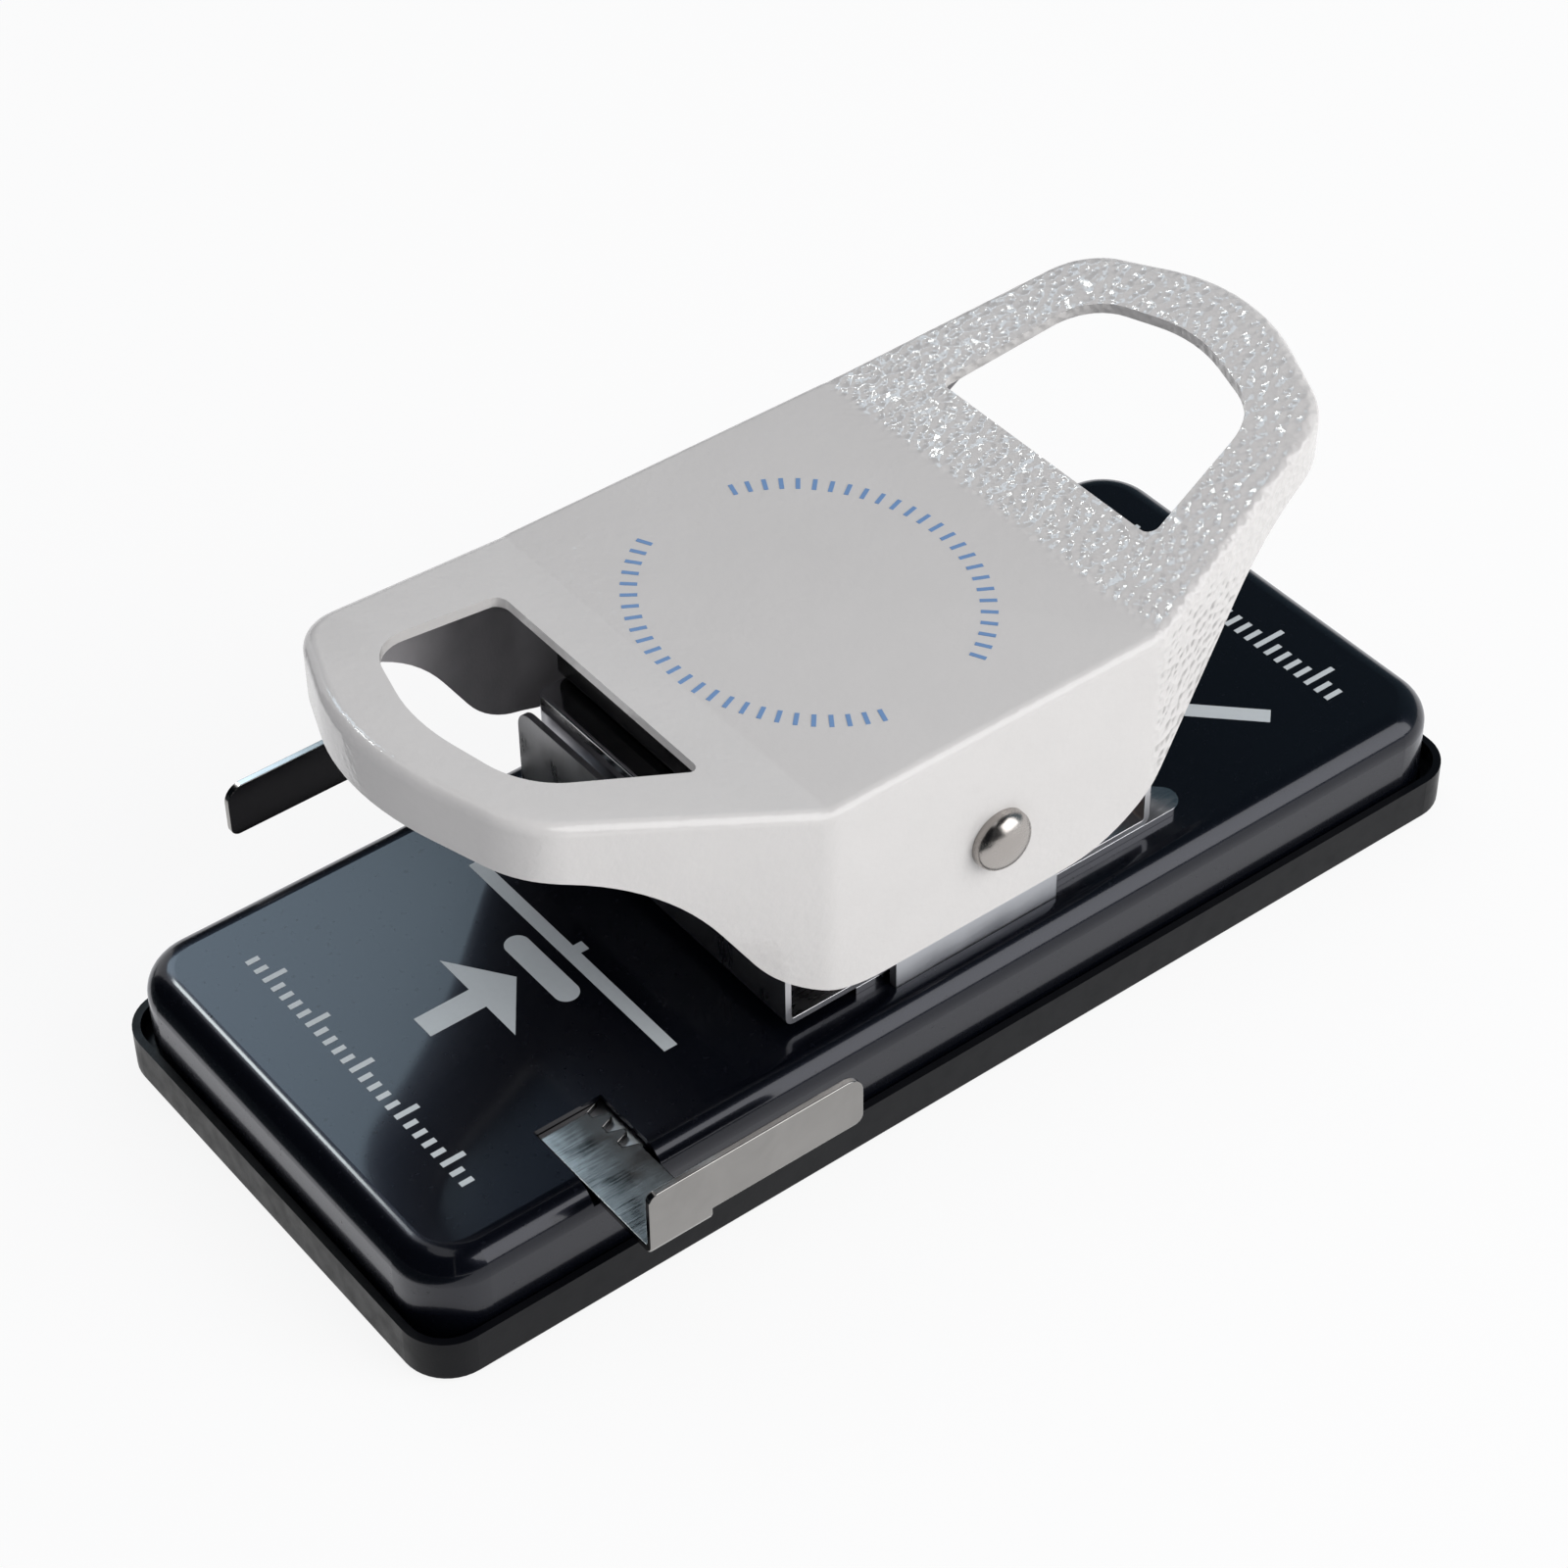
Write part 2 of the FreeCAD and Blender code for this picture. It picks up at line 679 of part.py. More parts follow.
def make_pinion(doc, sheet):
    """Spur gear with involute flanks, its gaps facing the racks."""
    module = sheet.tooth_module
    count = int(sheet.pinion_teeth)
    pitch_radius = module * count / 2
    pressure_angle = math.radians(sheet.pressure_angle)
    base_radius = pitch_radius * math.cos(pressure_angle)
    tip_radius = pitch_radius + module * sheet.rack_rise
    root_radius = pitch_radius - module * sheet.tooth_deep
    half_tooth = (math.pi / 4 * module - sheet.tooth_thin / 2) / pitch_radius
    half_tooth += math.tan(pressure_angle) - pressure_angle
    flank = []
    for step in range(POINTS_ON_FLANK):
        radius = base_radius + (tip_radius - base_radius) * step / (POINTS_ON_FLANK - 1)
        pressure = math.acos(base_radius / radius)
        flank.append((radius, half_tooth - math.tan(pressure) + pressure))
    points = []
    for tooth in range(count):
        middle = (tooth + 0.5) * 2 * math.pi / count
        points.append((root_radius, middle - flank[0][1]))
        points += [(radius, middle - angle) for radius, angle in flank]
        points += [(radius, middle + angle) for radius, angle in reversed(flank)]
        points.append((root_radius, middle + flank[0][1]))
    low = value(sheet, GUIDE_LOW) + sheet.seat_gap
    thick = sheet.guide_sheet
    places = [FreeCAD.Vector(radius * math.cos(angle), radius * math.sin(angle), 0)
              for radius, angle in points]
    wheel = Part.Face(Part.makePolygon(places + [places[0]])).extrude(UP * thick)
    bore = Part.makeCylinder(sheet.stud_radius + sheet.running_play, thick)
    pinion = doc.addObject("Part::Feature", "pinion")
    pinion.Shape = wheel.cut(bore)
    pinion.Placement = FreeCAD.Placement(FreeCAD.Vector(sheet.pinion_x, 0, low), FreeCAD.Rotation())
    return pinion


def make_pinion_stud(doc):
    seat = f"{GUIDE_LOW} - bed_sheet"
    low = f"{seat} - stud_head_high"
    shank = cylinder(doc, "StudShank", "stud_radius", "pinion_x", "0", low, COVER_UNDER)
    head = cylinder(doc, "StudHead", "stud_head", "pinion_x", "0", low, seat)
    return combine(doc, "Part::MultiFuse", "pinion_stud", [shank, head])


def make_guide_bed(doc):
    """Shallow channel spot-welded under the cover; the guides slide on its floor."""
    body = new_body(doc, "guide_bed")
    left = f"pinion_x - {BED_REACH}"
    right = f"pinion_x + {BED_REACH}"
    outer = rectangle(left, negative(BED_HALF), right, BED_HALF, "bed_wall")
    pad(body, "Block", [outer], f"{GUIDE_LOW} - bed_sheet", COVER_UNDER)
    inner = rectangle(f"{left} + bed_wall", "-cover_wide", f"{right} - bed_wall", "cover_wide")
    cut(body, "Channel", [inner], GUIDE_LOW, COVER_UNDER)
    cut(body, "StudHole", [circle("pinion_x", "0", "stud_radius")], f"{GUIDE_LOW} - bed_sheet", GUIDE_LOW)
    return body


# Pivot

def make_pivot_bracket(doc):
    """Channel under the cover whose two ears stand up through slots and carry the handle."""
    body = new_body(doc, "pivot_bracket")
    left = "pivot_x - ear_half"
    right = "pivot_x + ear_half"
    top = "pivot_high + ear_crown"
    crown_left = "pivot_x - ear_crown"
    crown_right = "pivot_x + ear_crown"
    ear = [(left, WEB_LOW), (right, WEB_LOW), (right, "ear_waist", "ear_round"),
           (crown_right, top, "ear_round"),
           (crown_left, top, "ear_round"), (left, "ear_waist", "ear_round")]
    pad(body, "Ears", [ear], negative(EAR_OUTER), EAR_OUTER, "XZ_Plane")
    between = rectangle(f"{left} - ear_half", COVER_UNDER, f"{right} + ear_half", f"{top} + ear_half")
    inner = f"({EAR_OUTER} - ear_sheet)"
    cut(body, "Between", [between], negative(inner), inner, "XZ_Plane")
    cut(body, "PivotHoles", [circle("pivot_x", "pivot_high", "pin_radius + running_play + bush_wall")],
        negative(EAR_OUTER), EAR_OUTER, "XZ_Plane")
    relief = rectangle("relief_left", "-relief_half", f"{right} + ear_sheet", "relief_half")
    cut(body, "Relief", [relief] + slot_bush_circles("guide_bush_radius"), WEB_LOW, COVER_UNDER)
    cut(body, "ScrewHoles", screw_circles("screw_radius"), WEB_LOW, COVER_UNDER)
    return body


def make_pivot_pin(doc):
    """Rod riveted through both skirts of the handle, with a low dome at each end."""
    place = ("pivot_x", "pivot_high")
    pieces = [cylinder(doc, "PinShank", "pin_radius", *place, negative(PANEL_HALF), PANEL_HALF, True)]
    for name, sign in (("Front", "-"), ("Back", "")):
        start = negative(f"{PANEL_HALF} + head_rim") if sign else PANEL_HALF
        end = negative(PANEL_HALF) if sign else f"{PANEL_HALF} + head_rim"
        pieces.append(cylinder(doc, name + "Rim", "head_radius", *place, start, end, True))
        pieces.append(make_dome(doc, name + "Dome", sign))
    return combine(doc, "Part::MultiFuse", "pivot_pin", pieces)


def make_dome(doc, name, sign):
    """Half of a flattened ball that closes a rivet's rim."""
    dome = doc.addObject("Part::Ellipsoid", name)
    bind(dome, "Radius1", "head_dome")
    bind(dome, "Radius2", "head_radius")
    bind(dome, "Radius3", "head_radius")
    dome.Angle1 = 0
    dome.Angle2 = 90
    turn = 90 if sign else -90
    dome.Placement = FreeCAD.Placement(FreeCAD.Vector(), FreeCAD.Rotation(FreeCAD.Vector(1, 0, 0), turn))
    bind(dome, "Placement.Base.x", "pivot_x")
    bind(dome, "Placement.Base.y", f"{sign}({PANEL_HALF} + head_rim)")
    bind(dome, "Placement.Base.z", "pivot_high")
    return dome


def make_pivot_bushes(doc):
    pieces = []
    bore = "pin_radius + running_play"
    inner = f"{EAR_OUTER} - ear_sheet"
    outer = f"{EAR_OUTER} + bush_flange_thick"
    for name, sign in (("FrontBush", "-"), ("BackBush", "")):
        ends = (negative(outer), negative(inner)) if sign else (inner, outer)
        flange_ends = (negative(outer), negative(EAR_OUTER)) if sign else (EAR_OUTER, outer)
        sleeve = cylinder(doc, name + "Sleeve", f"{bore} + bush_wall", "pivot_x", "pivot_high", *ends, True)
        flange = cylinder(doc, name + "Flange", "bush_flange", "pivot_x", "pivot_high", *flange_ends, True)
        hole = cylinder(doc, name + "Hole", bore, "pivot_x", "pivot_high", *ends, True)
        solid = combine(doc, "Part::MultiFuse", name + "Solid", [sleeve, flange])
        pieces.append(subtract(doc, name, solid, hole))
    return combine(doc, "Part::Compound", "pivot_bushes", pieces)


# Plates under and on the cover

def make_die_plate(doc):
    """Plate under the bracket's web; it holds both dies flush with the cover's top."""
    body = new_body(doc, "die_plate")
    left = f"{SLOT_X} - slot_die_half - die_lip"
    outer = rectangle(left, negative(STACK_HALF), "frame_right", STACK_HALF, "die_plate_round")
    pad(body, "Plate", [outer], DIE_PLATE_LOW, WEB_LOW)
    holes = die_windows() + bush_circles("guide_bush_radius") + screw_circles("screw_radius")
    cut(body, "Holes", holes, DIE_PLATE_LOW, WEB_LOW)
    return body


def make_card_stop(doc):
    """Spacer that forms the card gap: a straight stop at the left, a vee with two prongs at the right."""
    body = new_body(doc, "card_stop")
    left = f"{SLOT_X} + slot_inset"
    mouth = "(prong_end - vee_apex)"
    outer = [(left, negative(STACK_HALF)), ("prong_end", negative(STACK_HALF), "prong_outer_round"),
             ("prong_end", negative(mouth), "prong_inner_round"), ("vee_apex", "0"),
             ("prong_end", mouth, "prong_inner_round"), ("prong_end", STACK_HALF, "prong_outer_round"),
             (left, STACK_HALF)]
    pad(body, "Plate", [outer], "cover_top", GAP_TOP)
    holes = [blade_outline("strip_play")] + bush_circles("guide_bush_radius") + screw_circles("screw_radius")
    cut(body, "Holes", holes, "cover_top", GAP_TOP)
    return body


def make_top_frame(doc):
    """Thin sheet over the card gap, bent up at both ends; it strips the card off the punches."""
    body = new_body(doc, "top_frame")
    profile = [("frame_left", GAP_TOP, "bend_round"), ("frame_right", GAP_TOP, "bend_round"),
               ("frame_right", "right_wall_top"), ("frame_right - frame_sheet", "right_wall_top"),
               ("frame_right - frame_sheet", FRAME_TOP, "bend_round - frame_sheet"),
               ("frame_left + frame_sheet", FRAME_TOP, "bend_round - frame_sheet"),
               ("frame_left + frame_sheet", "left_wall_top"), ("frame_left", "left_wall_top")]
    pad(body, "Sheet", [profile], negative(STACK_HALF), STACK_HALF, "XZ_Plane")
    half = value(body, STACK_HALF)
    tops = [value(body, "left_wall_top"), value(body, "right_wall_top")]
    round_edges(body, "WallCorners", lambda edge: any(at_level(top)(edge) for top in tops)
                and near(edge.BoundBox.YMin, edge.BoundBox.YMax) and near(abs(edge.BoundBox.YMin), half),
                "wall_round")
    punch = capsule(SLOT_X, "0", "(slot_long / 2 + strip_play)", "(slot_wide / 2 + strip_play)")
    holes = [punch, blade_outline("strip_play")] + bush_circles("guide_bush_radius")
    holes += screw_circles("screw_radius")
    cut(body, "Holes", holes, GAP_TOP, FRAME_TOP)
    return body


def blade_outline(play):
    """Plan of the corner blade without its curved cutting edge, grown by the play."""
    return rectangle(f"blade_left - {play}", f"-blade_half - {play}",
                     f"blade_right + {play}", f"blade_half + {play}")


def make_slot_die(doc):
    body = new_body(doc, "slot_die")
    pad(body, "Block", die_windows()[:1], DIE_LOW, "cover_top")
    hole = capsule(SLOT_X, "0", "(slot_long / 2 + cut_play)", "(slot_wide / 2 + cut_play)")
    cut(body, "CutHole", [hole], DIE_LOW, "cover_top")
    return body


def make_corner_die(doc):
    """Hardened block whose opening has the rounded corner as its right edge."""
    body = new_body(doc, "corner_die")
    pad(body, "Block", die_windows()[1:], DIE_LOW, "cover_top")
    cut(body, "CutHole", [blade_outline("cut_play")], DIE_LOW, "cover_top")
    pad(body, "CuttingEdge", [circle(CUT_X, "0", "corner_radius - cut_play")], DIE_LOW, "cover_top")
    beside = rectangle("corner_die_right", "-corner_die_half", "cover_long", "corner_die_half")
    cut(body, "Trim", [beside], DIE_LOW, "cover_top")
    return body


# Punches

def make_slot_punch(doc):
    body = new_body(doc, "slot_punch")
    blade = capsule(SLOT_X, "0", "slot_long / 2", "slot_wide / 2")
    pad(body, "Blade", [blade], PUNCH_TIP, CARRIER_LOW)
    return body


def make_corner_punch(doc):
    body = new_body(doc, "corner_punch")
    pad(body, "Blade", [blade_outline("0")], PUNCH_TIP, CARRIER_LOW)
    cut(body, "CuttingEdge", [circle(CUT_X, "0", "corner_radius")], PUNCH_TIP, CARRIER_LOW)
    return body


def make_carrier(doc, label, left, pins):
    """Steel block that carries a punch and its two guide pins."""
    body = new_body(doc, label)
    outer = rectangle(left, negative(CARRIER_HALF), f"{left} + carrier_wide", CARRIER_HALF, "carrier_round")
    pad(body, "Block", [outer], CARRIER_LOW, "carrier_top")
    top = value(body, "carrier_top")
    round_edges(body, "TopRound", at_level(top), "carrier_edge")
    cut(body, "PinHoles", pins, CARRIER_LOW, f"{CARRIER_LOW} + guide_pin_sunk")
    return body


def make_guide_pins(doc, label, places):
    pieces = []
    top = f"{CARRIER_LOW} + guide_pin_sunk"
    for index, place in enumerate(places):
        name = f"{label}{index}"
        pieces.append(cylinder(doc, name, "guide_pin_radius", place["x"], place["y"], "guide_pin_low", top))
    return combine(doc, "Part::Compound", label, pieces)


def make_guide_bushes(doc):
    pieces = []
    for index, place in enumerate(bush_circles("guide_bush_radius")):
        pieces.append(tube(doc, f"GuideBush{index}", "guide_bush_radius", "guide_pin_radius + running_play",
                           place["x"], place["y"], "guide_bush_low", "guide_bush_top"))
    return combine(doc, "Part::Compound", "guide_bushes", pieces)


def arc_between(start, way, end):
    """Arc that leaves the start in the given direction and reaches the end."""
    chord = end - start
    turn = way.getAngle(chord)
    middle = (start + end) / 2
    outwards = way - chord * (way.dot(chord) / chord.dot(chord))
    sagitta = chord.Length / 2 * math.tan(turn / 2)
    return Part.Arc(start, middle + outwards.normalize() * sagitta, end).toShape()


def two_arcs(start, way, end, end_way):
    """Pair of arcs that join two points and keep the direction at both."""
    chord = end - start
    both = way + end_way
    bend = 1 - way.dot(end_way)
    along = chord.dot(both)
    reach = (math.sqrt(along * along + 2 * bend * chord.dot(chord)) - along) / (2 * bend)
    joint = (start + way * reach + end - end_way * reach) / 2
    joint_way = (end - end_way * reach - start - way * reach).normalize()
    return [arc_between(start, way, joint), arc_between(joint, joint_way, end)]


def coil_path(radius, rise, turns):
    """Wire along a coil of the given rise for each turn, in pairs of arcs for each quarter turn."""
    places = []
    for quarter in range(int(turns * 4) + 1):
        angle = quarter * math.pi / 2
        across = FreeCAD.Vector(math.cos(angle), math.sin(angle), 0)
        way = UP.cross(across) * (2 * math.pi * radius) + UP * rise
        places.append((across * radius + UP * (rise * quarter / 4), way.normalize()))
    arcs = []
    for first, second in zip(places, places[1:]):
        arcs += two_arcs(*first, *second)
    return Part.Wire(arcs)


def make_spring(doc, sheet, label, place):
    """Coil of round wire between the frame and a carrier, round a bush."""
    low = value(sheet, f"{FRAME_TOP} + seat_gap + wire_radius")
    high = value(sheet, f"{CARRIER_LOW} - seat_gap - wire_radius")
    path = coil_path(sheet.coil_radius, (high - low) / sheet.coil_turns, sheet.coil_turns)
    start = path.OrderedVertexes[0].Point
    way = path.OrderedEdges[0].tangentAt(path.OrderedEdges[0].FirstParameter)
    pipe = Part.BRepOffsetAPI.MakePipeShell(path)
    pipe.add(Part.Wire(Part.Circle(start, way, sheet.wire_radius).toShape()))
    pipe.build()
    pipe.makeSolid()
    print("least gap in", label, round(least_gap(path, sheet), 2))
    spring = doc.addObject("Part::Feature", label)
    spring.Shape = pipe.shape()
    spring.Placement.Base = FreeCAD.Vector(value(sheet, place["x"]), value(sheet, place["y"]), low)
    return spring


def least_gap(path, sheet):
    """Least free distance between the turns of a coil, measured on points of its centre line."""
    points = path.discretize(Number=POINTS_ON_COIL)
    half_turn = int(POINTS_ON_COIL / sheet.coil_turns / 2)
    gaps = [(points[first] - points[second]).Length
            for first in range(len(points)) for second in range(first + half_turn, len(points))]
    return min(gaps) - 2 * sheet.wire_radius


def make_screws(doc):
    pieces = []
    for index, place in enumerate(screw_circles("screw_radius")):
        name = f"Screw{index}"
        top = f"{FRAME_TOP} + screw_head_high"
        x = place["x"]
        y = place["y"]
        shank = cylinder(doc, name + "Shank", "screw_radius", x, y, "screw_low", FRAME_TOP)
        head = cylinder(doc, name + "Head", "screw_head", x, y, FRAME_TOP, top)
        drive = doc.addObject("Part::Prism", name + "Drive")
        drive.Polygon = 6
        bind(drive, "Circumradius", "drive_radius")
        bind(drive, "Height", "drive_deep")
        for axis, text in zip("xyz", (x, y, f"{top} - drive_deep")):
            bind(drive, f"Placement.Base.{axis}", text)
        solid = combine(doc, "Part::MultiFuse", name + "Solid", [shank, head])
        pieces.append(subtract(doc, name, solid, drive))
    return combine(doc, "Part::Compound", "frame_screws", pieces)


# Handle

def tip_round(share, deep, wide):
    """Radius at a tip that takes up a share of the two slanted edges beside it."""
    return f"({share} * sqrt(({wide}) ^ 2 + ({deep}) ^ 2) * ({wide}) / ({deep}))"


def handle_rim():
    """Plan of the handle about its pivot: straight flanks, tapering shoulders and a flat-round tip."""
    tip = tip_round("tip_share", "tip_x - shoulder_x", SHOULDER_Y)
    right = [("crease_at", negative(PANEL_HALF), "flank_round"),
             ("shoulder_x", negative(SHOULDER_Y), "shoulder_round"), ("tip_x", "0", tip),
             ("shoulder_x", SHOULDER_Y, "shoulder_round"), ("crease_at", PANEL_HALF, "flank_round")]
    left = [(negative(corner[0]),) + corner[1:] for corner in reversed(right)]
    return right + left


def rising(x, drop="0"):
    """Height of the bent-up loop's top at a distance from the pivot, less a drop."""
    return f"(panel_top + ({x} - crease_at) * {RISE} - {drop})"


def handle_side():
    """Side view: flat panel with both loops bent up, and the skirt's belly below."""
    left = [(negative(corner[0]),) + corner[1:] for corner in reversed(half_side("left"))]
    return half_side("right") + left


def half_side(side):
    """Side view of one half of the handle, at positive distances from the pivot."""
    sweep_end = f"{side}_sweep_end"
    rim_deep = f"{side}_rim_deep"
    return [(f"{side}_belly_end", "skirt_low", f"{side}_belly_round"),
            (sweep_end, rising(sweep_end, rim_deep), f"{side}_sweep_round"),
            (BEYOND, rising(BEYOND, rim_deep)), (BEYOND, rising(BEYOND)),
            ("crease_at", "panel_top", "crease_round")]


def handle_skin():
    """Side view of the panel alone, one wall thick."""
    half = [("crease_at", "panel_top - shell_wall", "crease_round + shell_wall"),
            (BEYOND, rising(BEYOND, "shell_wall")), (BEYOND, rising(BEYOND)),
            ("crease_at", "panel_top", "crease_round")]
    return mirrored(half)


def window_outline(side):
    """Hand hole in one loop, widest at its inner edge."""
    tip = tip_round("window_tip_share", "window_tip - window_shoulder_x", WINDOW_SHOULDER_Y)
    right = [("window_inner", negative(WINDOW_HALF), "window_inner_round"),
             ("window_shoulder_x", negative(WINDOW_SHOULDER_Y), "window_shoulder_round"),
             ("window_tip", "0", tip),
             ("window_shoulder_x", WINDOW_SHOULDER_Y, "window_shoulder_round"),
             ("window_inner", WINDOW_HALF, "window_inner_round")]
    if side == "right":
        return right
    return [(negative(corner[0]),) + corner[1:] for corner in reversed(right)]


def make_handle_shell(doc):
    body = new_body(doc, "handle_shell")
    pad(body, "Slab", [handle_side()], negative(BEYOND), BEYOND, "XZ_Plane")
    cut(body, "Hollow", [handle_rim()], "0", BEYOND, wall="shell_wall")
    pad(body, "Panel", [handle_skin()], negative(BEYOND), BEYOND, "XZ_Plane")
    cut(body, "Outside", [handle_rim(), middle_rectangle(f"2 * {BEYOND}", f"2 * {BEYOND}")], "0", BEYOND)
    round_edges(body, "TopRound", is_top_rim(body.Tip.Shape), "top_round")
    cut(body, "Windows", [window_outline("left"), window_outline("right")], "0", BEYOND)
    cut(body, "PinHoles", [circle("0", "pivot_high", "pin_radius")], negative(BEYOND), BEYOND, "XZ_Plane")
    bind(body, "Placement.Base.x", "pivot_x")
    doc.recompute()
    return body


def is_top_rim(shape):
    """Test for the edges between the top of the shell and its upright outer wall."""
    def lean(face):
        low_u, high_u, low_v, high_v = face.ParameterRange
        return face.normalAt((low_u + high_u) / 2, (low_v + high_v) / 2).z

    def test(edge):
        leans = [lean(face) for face in shape.Faces if any(item.isSame(edge) for item in face.Edges)]
        steepest = min(abs(each) for each in leans)
        return len(leans) == 2 and max(leans) > LOOKS_UP and steepest < LOOKS_SIDEWAYS
    return test


def make_press_frame(doc):
    """Thick channel welded under the panel; its two rounded edges press on the carriers."""
    body = new_body(doc, "press_frame")
    top = "panel_top - shell_wall"
    low = "carrier_top + press_gap"
    inner = "lever - press_sheet / 2"
    outer = "lever + press_sheet / 2"
    half = [(inner, f"{top} - press_sheet", "press_sheet / 2"), (inner, low, "press_round"),
            (outer, low, "press_round"), (outer, top, "press_sheet")]
    pad(body, "Channel", [mirrored(half)], negative(CARRIER_HALF), CARRIER_HALF, "XZ_Plane")
    bind(body, "Placement.Base.x", "pivot_x")
    doc.recompute()
    return body


def build():
    doc = FreeCAD.newDocument("CardPunch")
    sheet = make_sheet(doc)
    parts = [make_chip_tray(doc), make_feet(doc), make_cover(doc)]
    parts += [make_guide(doc, "front_guide", False), make_guide(doc, "back_guide", True)]
    parts += [make_pinion(doc, sheet), make_pinion_stud(doc), make_guide_bed(doc)]
    parts += [make_pivot_bracket(doc), make_pivot_pin(doc), make_pivot_bushes(doc)]
    parts += [make_die_plate(doc), make_card_stop(doc), make_top_frame(doc)]
    parts += [make_slot_die(doc), make_corner_die(doc), make_slot_punch(doc), make_corner_punch(doc)]
    slot_places = slot_bush_circles("guide_pin_radius")
    corner_places = corner_bush_circles("guide_pin_radius")
    parts.append(make_carrier(doc, "slot_carrier", SLOT_CARRIER_LEFT, slot_places))
    parts.append(make_carrier(doc, "corner_carrier", CORNER_CARRIER_LEFT, corner_places))
    parts.append(make_guide_pins(doc, "slot_guide_pins", slot_places))
    parts.append(make_guide_pins(doc, "corner_guide_pins", corner_places))
    parts.append(make_guide_bushes(doc))
    for label, places in (("slot_spring", slot_places), ("corner_spring", corner_places)):
        for end, place in zip(("back", "front"), places):
            parts.append(make_spring(doc, sheet, f"{label}_{end}", place))
    parts += [make_screws(doc), make_handle_shell(doc), make_press_frame(doc)]
    doc.recompute()
    return doc, parts


def check(doc, parts):
    """Stop if any object failed or any sub-part is not one sound shape."""
    for item in doc.Objects:
        if "Invalid" in item.State or "Error" in item.State:
            raise RuntimeError(f"{item.Label} failed: {item.State}")
    for part in parts:
        if part.Shape.isNull() or not part.Shape.isValid():
            raise RuntimeError(f"{part.Label} has no sound shape")


def export(parts):
    os.makedirs("parts", exist_ok=True)
    for part in parts:
        part.Shape.exportStep(os.path.join("parts", part.Label + ".step"))
        print(part.Label, len(part.Shape.Solids), round(part.Shape.Volume, 1))


document, sub_parts = build()
check(document, sub_parts)
export(sub_parts)
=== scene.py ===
import json
import math

import bmesh
import bpy
from bpy.props import FloatProperty, FloatVectorProperty, IntProperty, PointerProperty
from mathutils import Matrix, Vector

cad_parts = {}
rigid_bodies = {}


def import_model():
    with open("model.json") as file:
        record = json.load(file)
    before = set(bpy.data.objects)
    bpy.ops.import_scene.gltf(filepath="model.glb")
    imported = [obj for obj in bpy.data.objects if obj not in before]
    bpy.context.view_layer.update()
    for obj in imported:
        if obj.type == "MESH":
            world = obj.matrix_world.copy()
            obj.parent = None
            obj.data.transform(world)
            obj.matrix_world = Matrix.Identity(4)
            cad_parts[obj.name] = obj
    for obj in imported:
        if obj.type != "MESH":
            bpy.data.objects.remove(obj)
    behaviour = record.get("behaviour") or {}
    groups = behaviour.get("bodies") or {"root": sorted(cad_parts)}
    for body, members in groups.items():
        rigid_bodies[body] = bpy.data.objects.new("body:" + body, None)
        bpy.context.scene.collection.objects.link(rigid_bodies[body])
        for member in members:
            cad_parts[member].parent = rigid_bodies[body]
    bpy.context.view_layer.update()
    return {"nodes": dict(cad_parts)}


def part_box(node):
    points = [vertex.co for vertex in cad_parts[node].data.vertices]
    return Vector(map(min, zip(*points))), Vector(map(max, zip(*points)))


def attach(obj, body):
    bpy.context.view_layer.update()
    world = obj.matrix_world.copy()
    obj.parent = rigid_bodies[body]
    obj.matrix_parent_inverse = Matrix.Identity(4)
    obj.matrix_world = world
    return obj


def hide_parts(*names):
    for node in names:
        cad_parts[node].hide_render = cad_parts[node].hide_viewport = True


# Finishes, printed marks, light and camera for a desk punch that slots and rounds identity cards.
# Lengths are in metres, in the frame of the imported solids.

bl_info = {
    "name": "Card slot and corner punch",
    "version": (1, 0, 0),
    "blender": (4, 5, 0),
    "location": "3D View > Sidebar > Card punch",
    "description": "Dresses the packed solids of a desk card punch with finishes and printed marks",
    "category": "Add Mesh",
}

for extra in list(bpy.data.objects):
    bpy.data.objects.remove(extra)
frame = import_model()

MM = 0.001


def linear(code):
    """Linear colour of an sRGB hex value."""
    shares = [int(code[place:place + 2], 16) / 255 for place in (0, 2, 4)]
    return [share / 12.92 if share <= 0.04045 else ((share + 0.055) / 1.055) ** 2.4
            for share in shares] + [1.0]


def length(name, description, size_mm):
    return FloatProperty(name=name, description=description, default=size_mm * MM, min=0.0,
                         unit="LENGTH", precision=5)


def tint(name, description, code):
    return FloatVectorProperty(name=name, description=description, default=linear(code),
                               size=4, min=0.0, max=1.0, subtype="COLOR")


class CardPunchSizes(bpy.types.PropertyGroup):
    """Sizes of the printed marks and of the paint's texture."""

    ink: length("Ink thickness", "How far a printed mark stands above its surface", 0.05)
    line_width: length("Line width", "Width of the cross line beside the slot mark", 2.0)
    line_reach: length("Line reach", "Half the length of the cross line", 21.4)
    slot_width: length("Slot mark width", "Width of the printed slot", 3.5)
    slot_reach: length("Slot mark reach", "Half the length of the printed slot", 7.1)
    arm_width: length("Arm width", "Width of each arm of the printed vee", 2.5)
    tick_pitch: length("Tick pitch", "Spacing of the scale's ticks", 2.0)
    tick_width: length("Tick width", "Width of one tick", 0.8)
    ring_width: length("Ring half width", "Half the width of the ring of dashes along the base", 21.5)
    ring_depth: length("Ring half depth", "Half the depth of the ring of dashes across the base", 24.2)
    dash_long: length("Dash length", "Length of one dash of the ring, across the ring", 2.2)
    dash_wide: length("Dash width", "Width of one dash of the ring", 0.6)
    dash_count: IntProperty(name="Dashes", description="Dashes in each half of the ring", default=26, min=2)
    dimple: length("Paint dimple", "Width of one dimple in the textured enamel", 1.3)


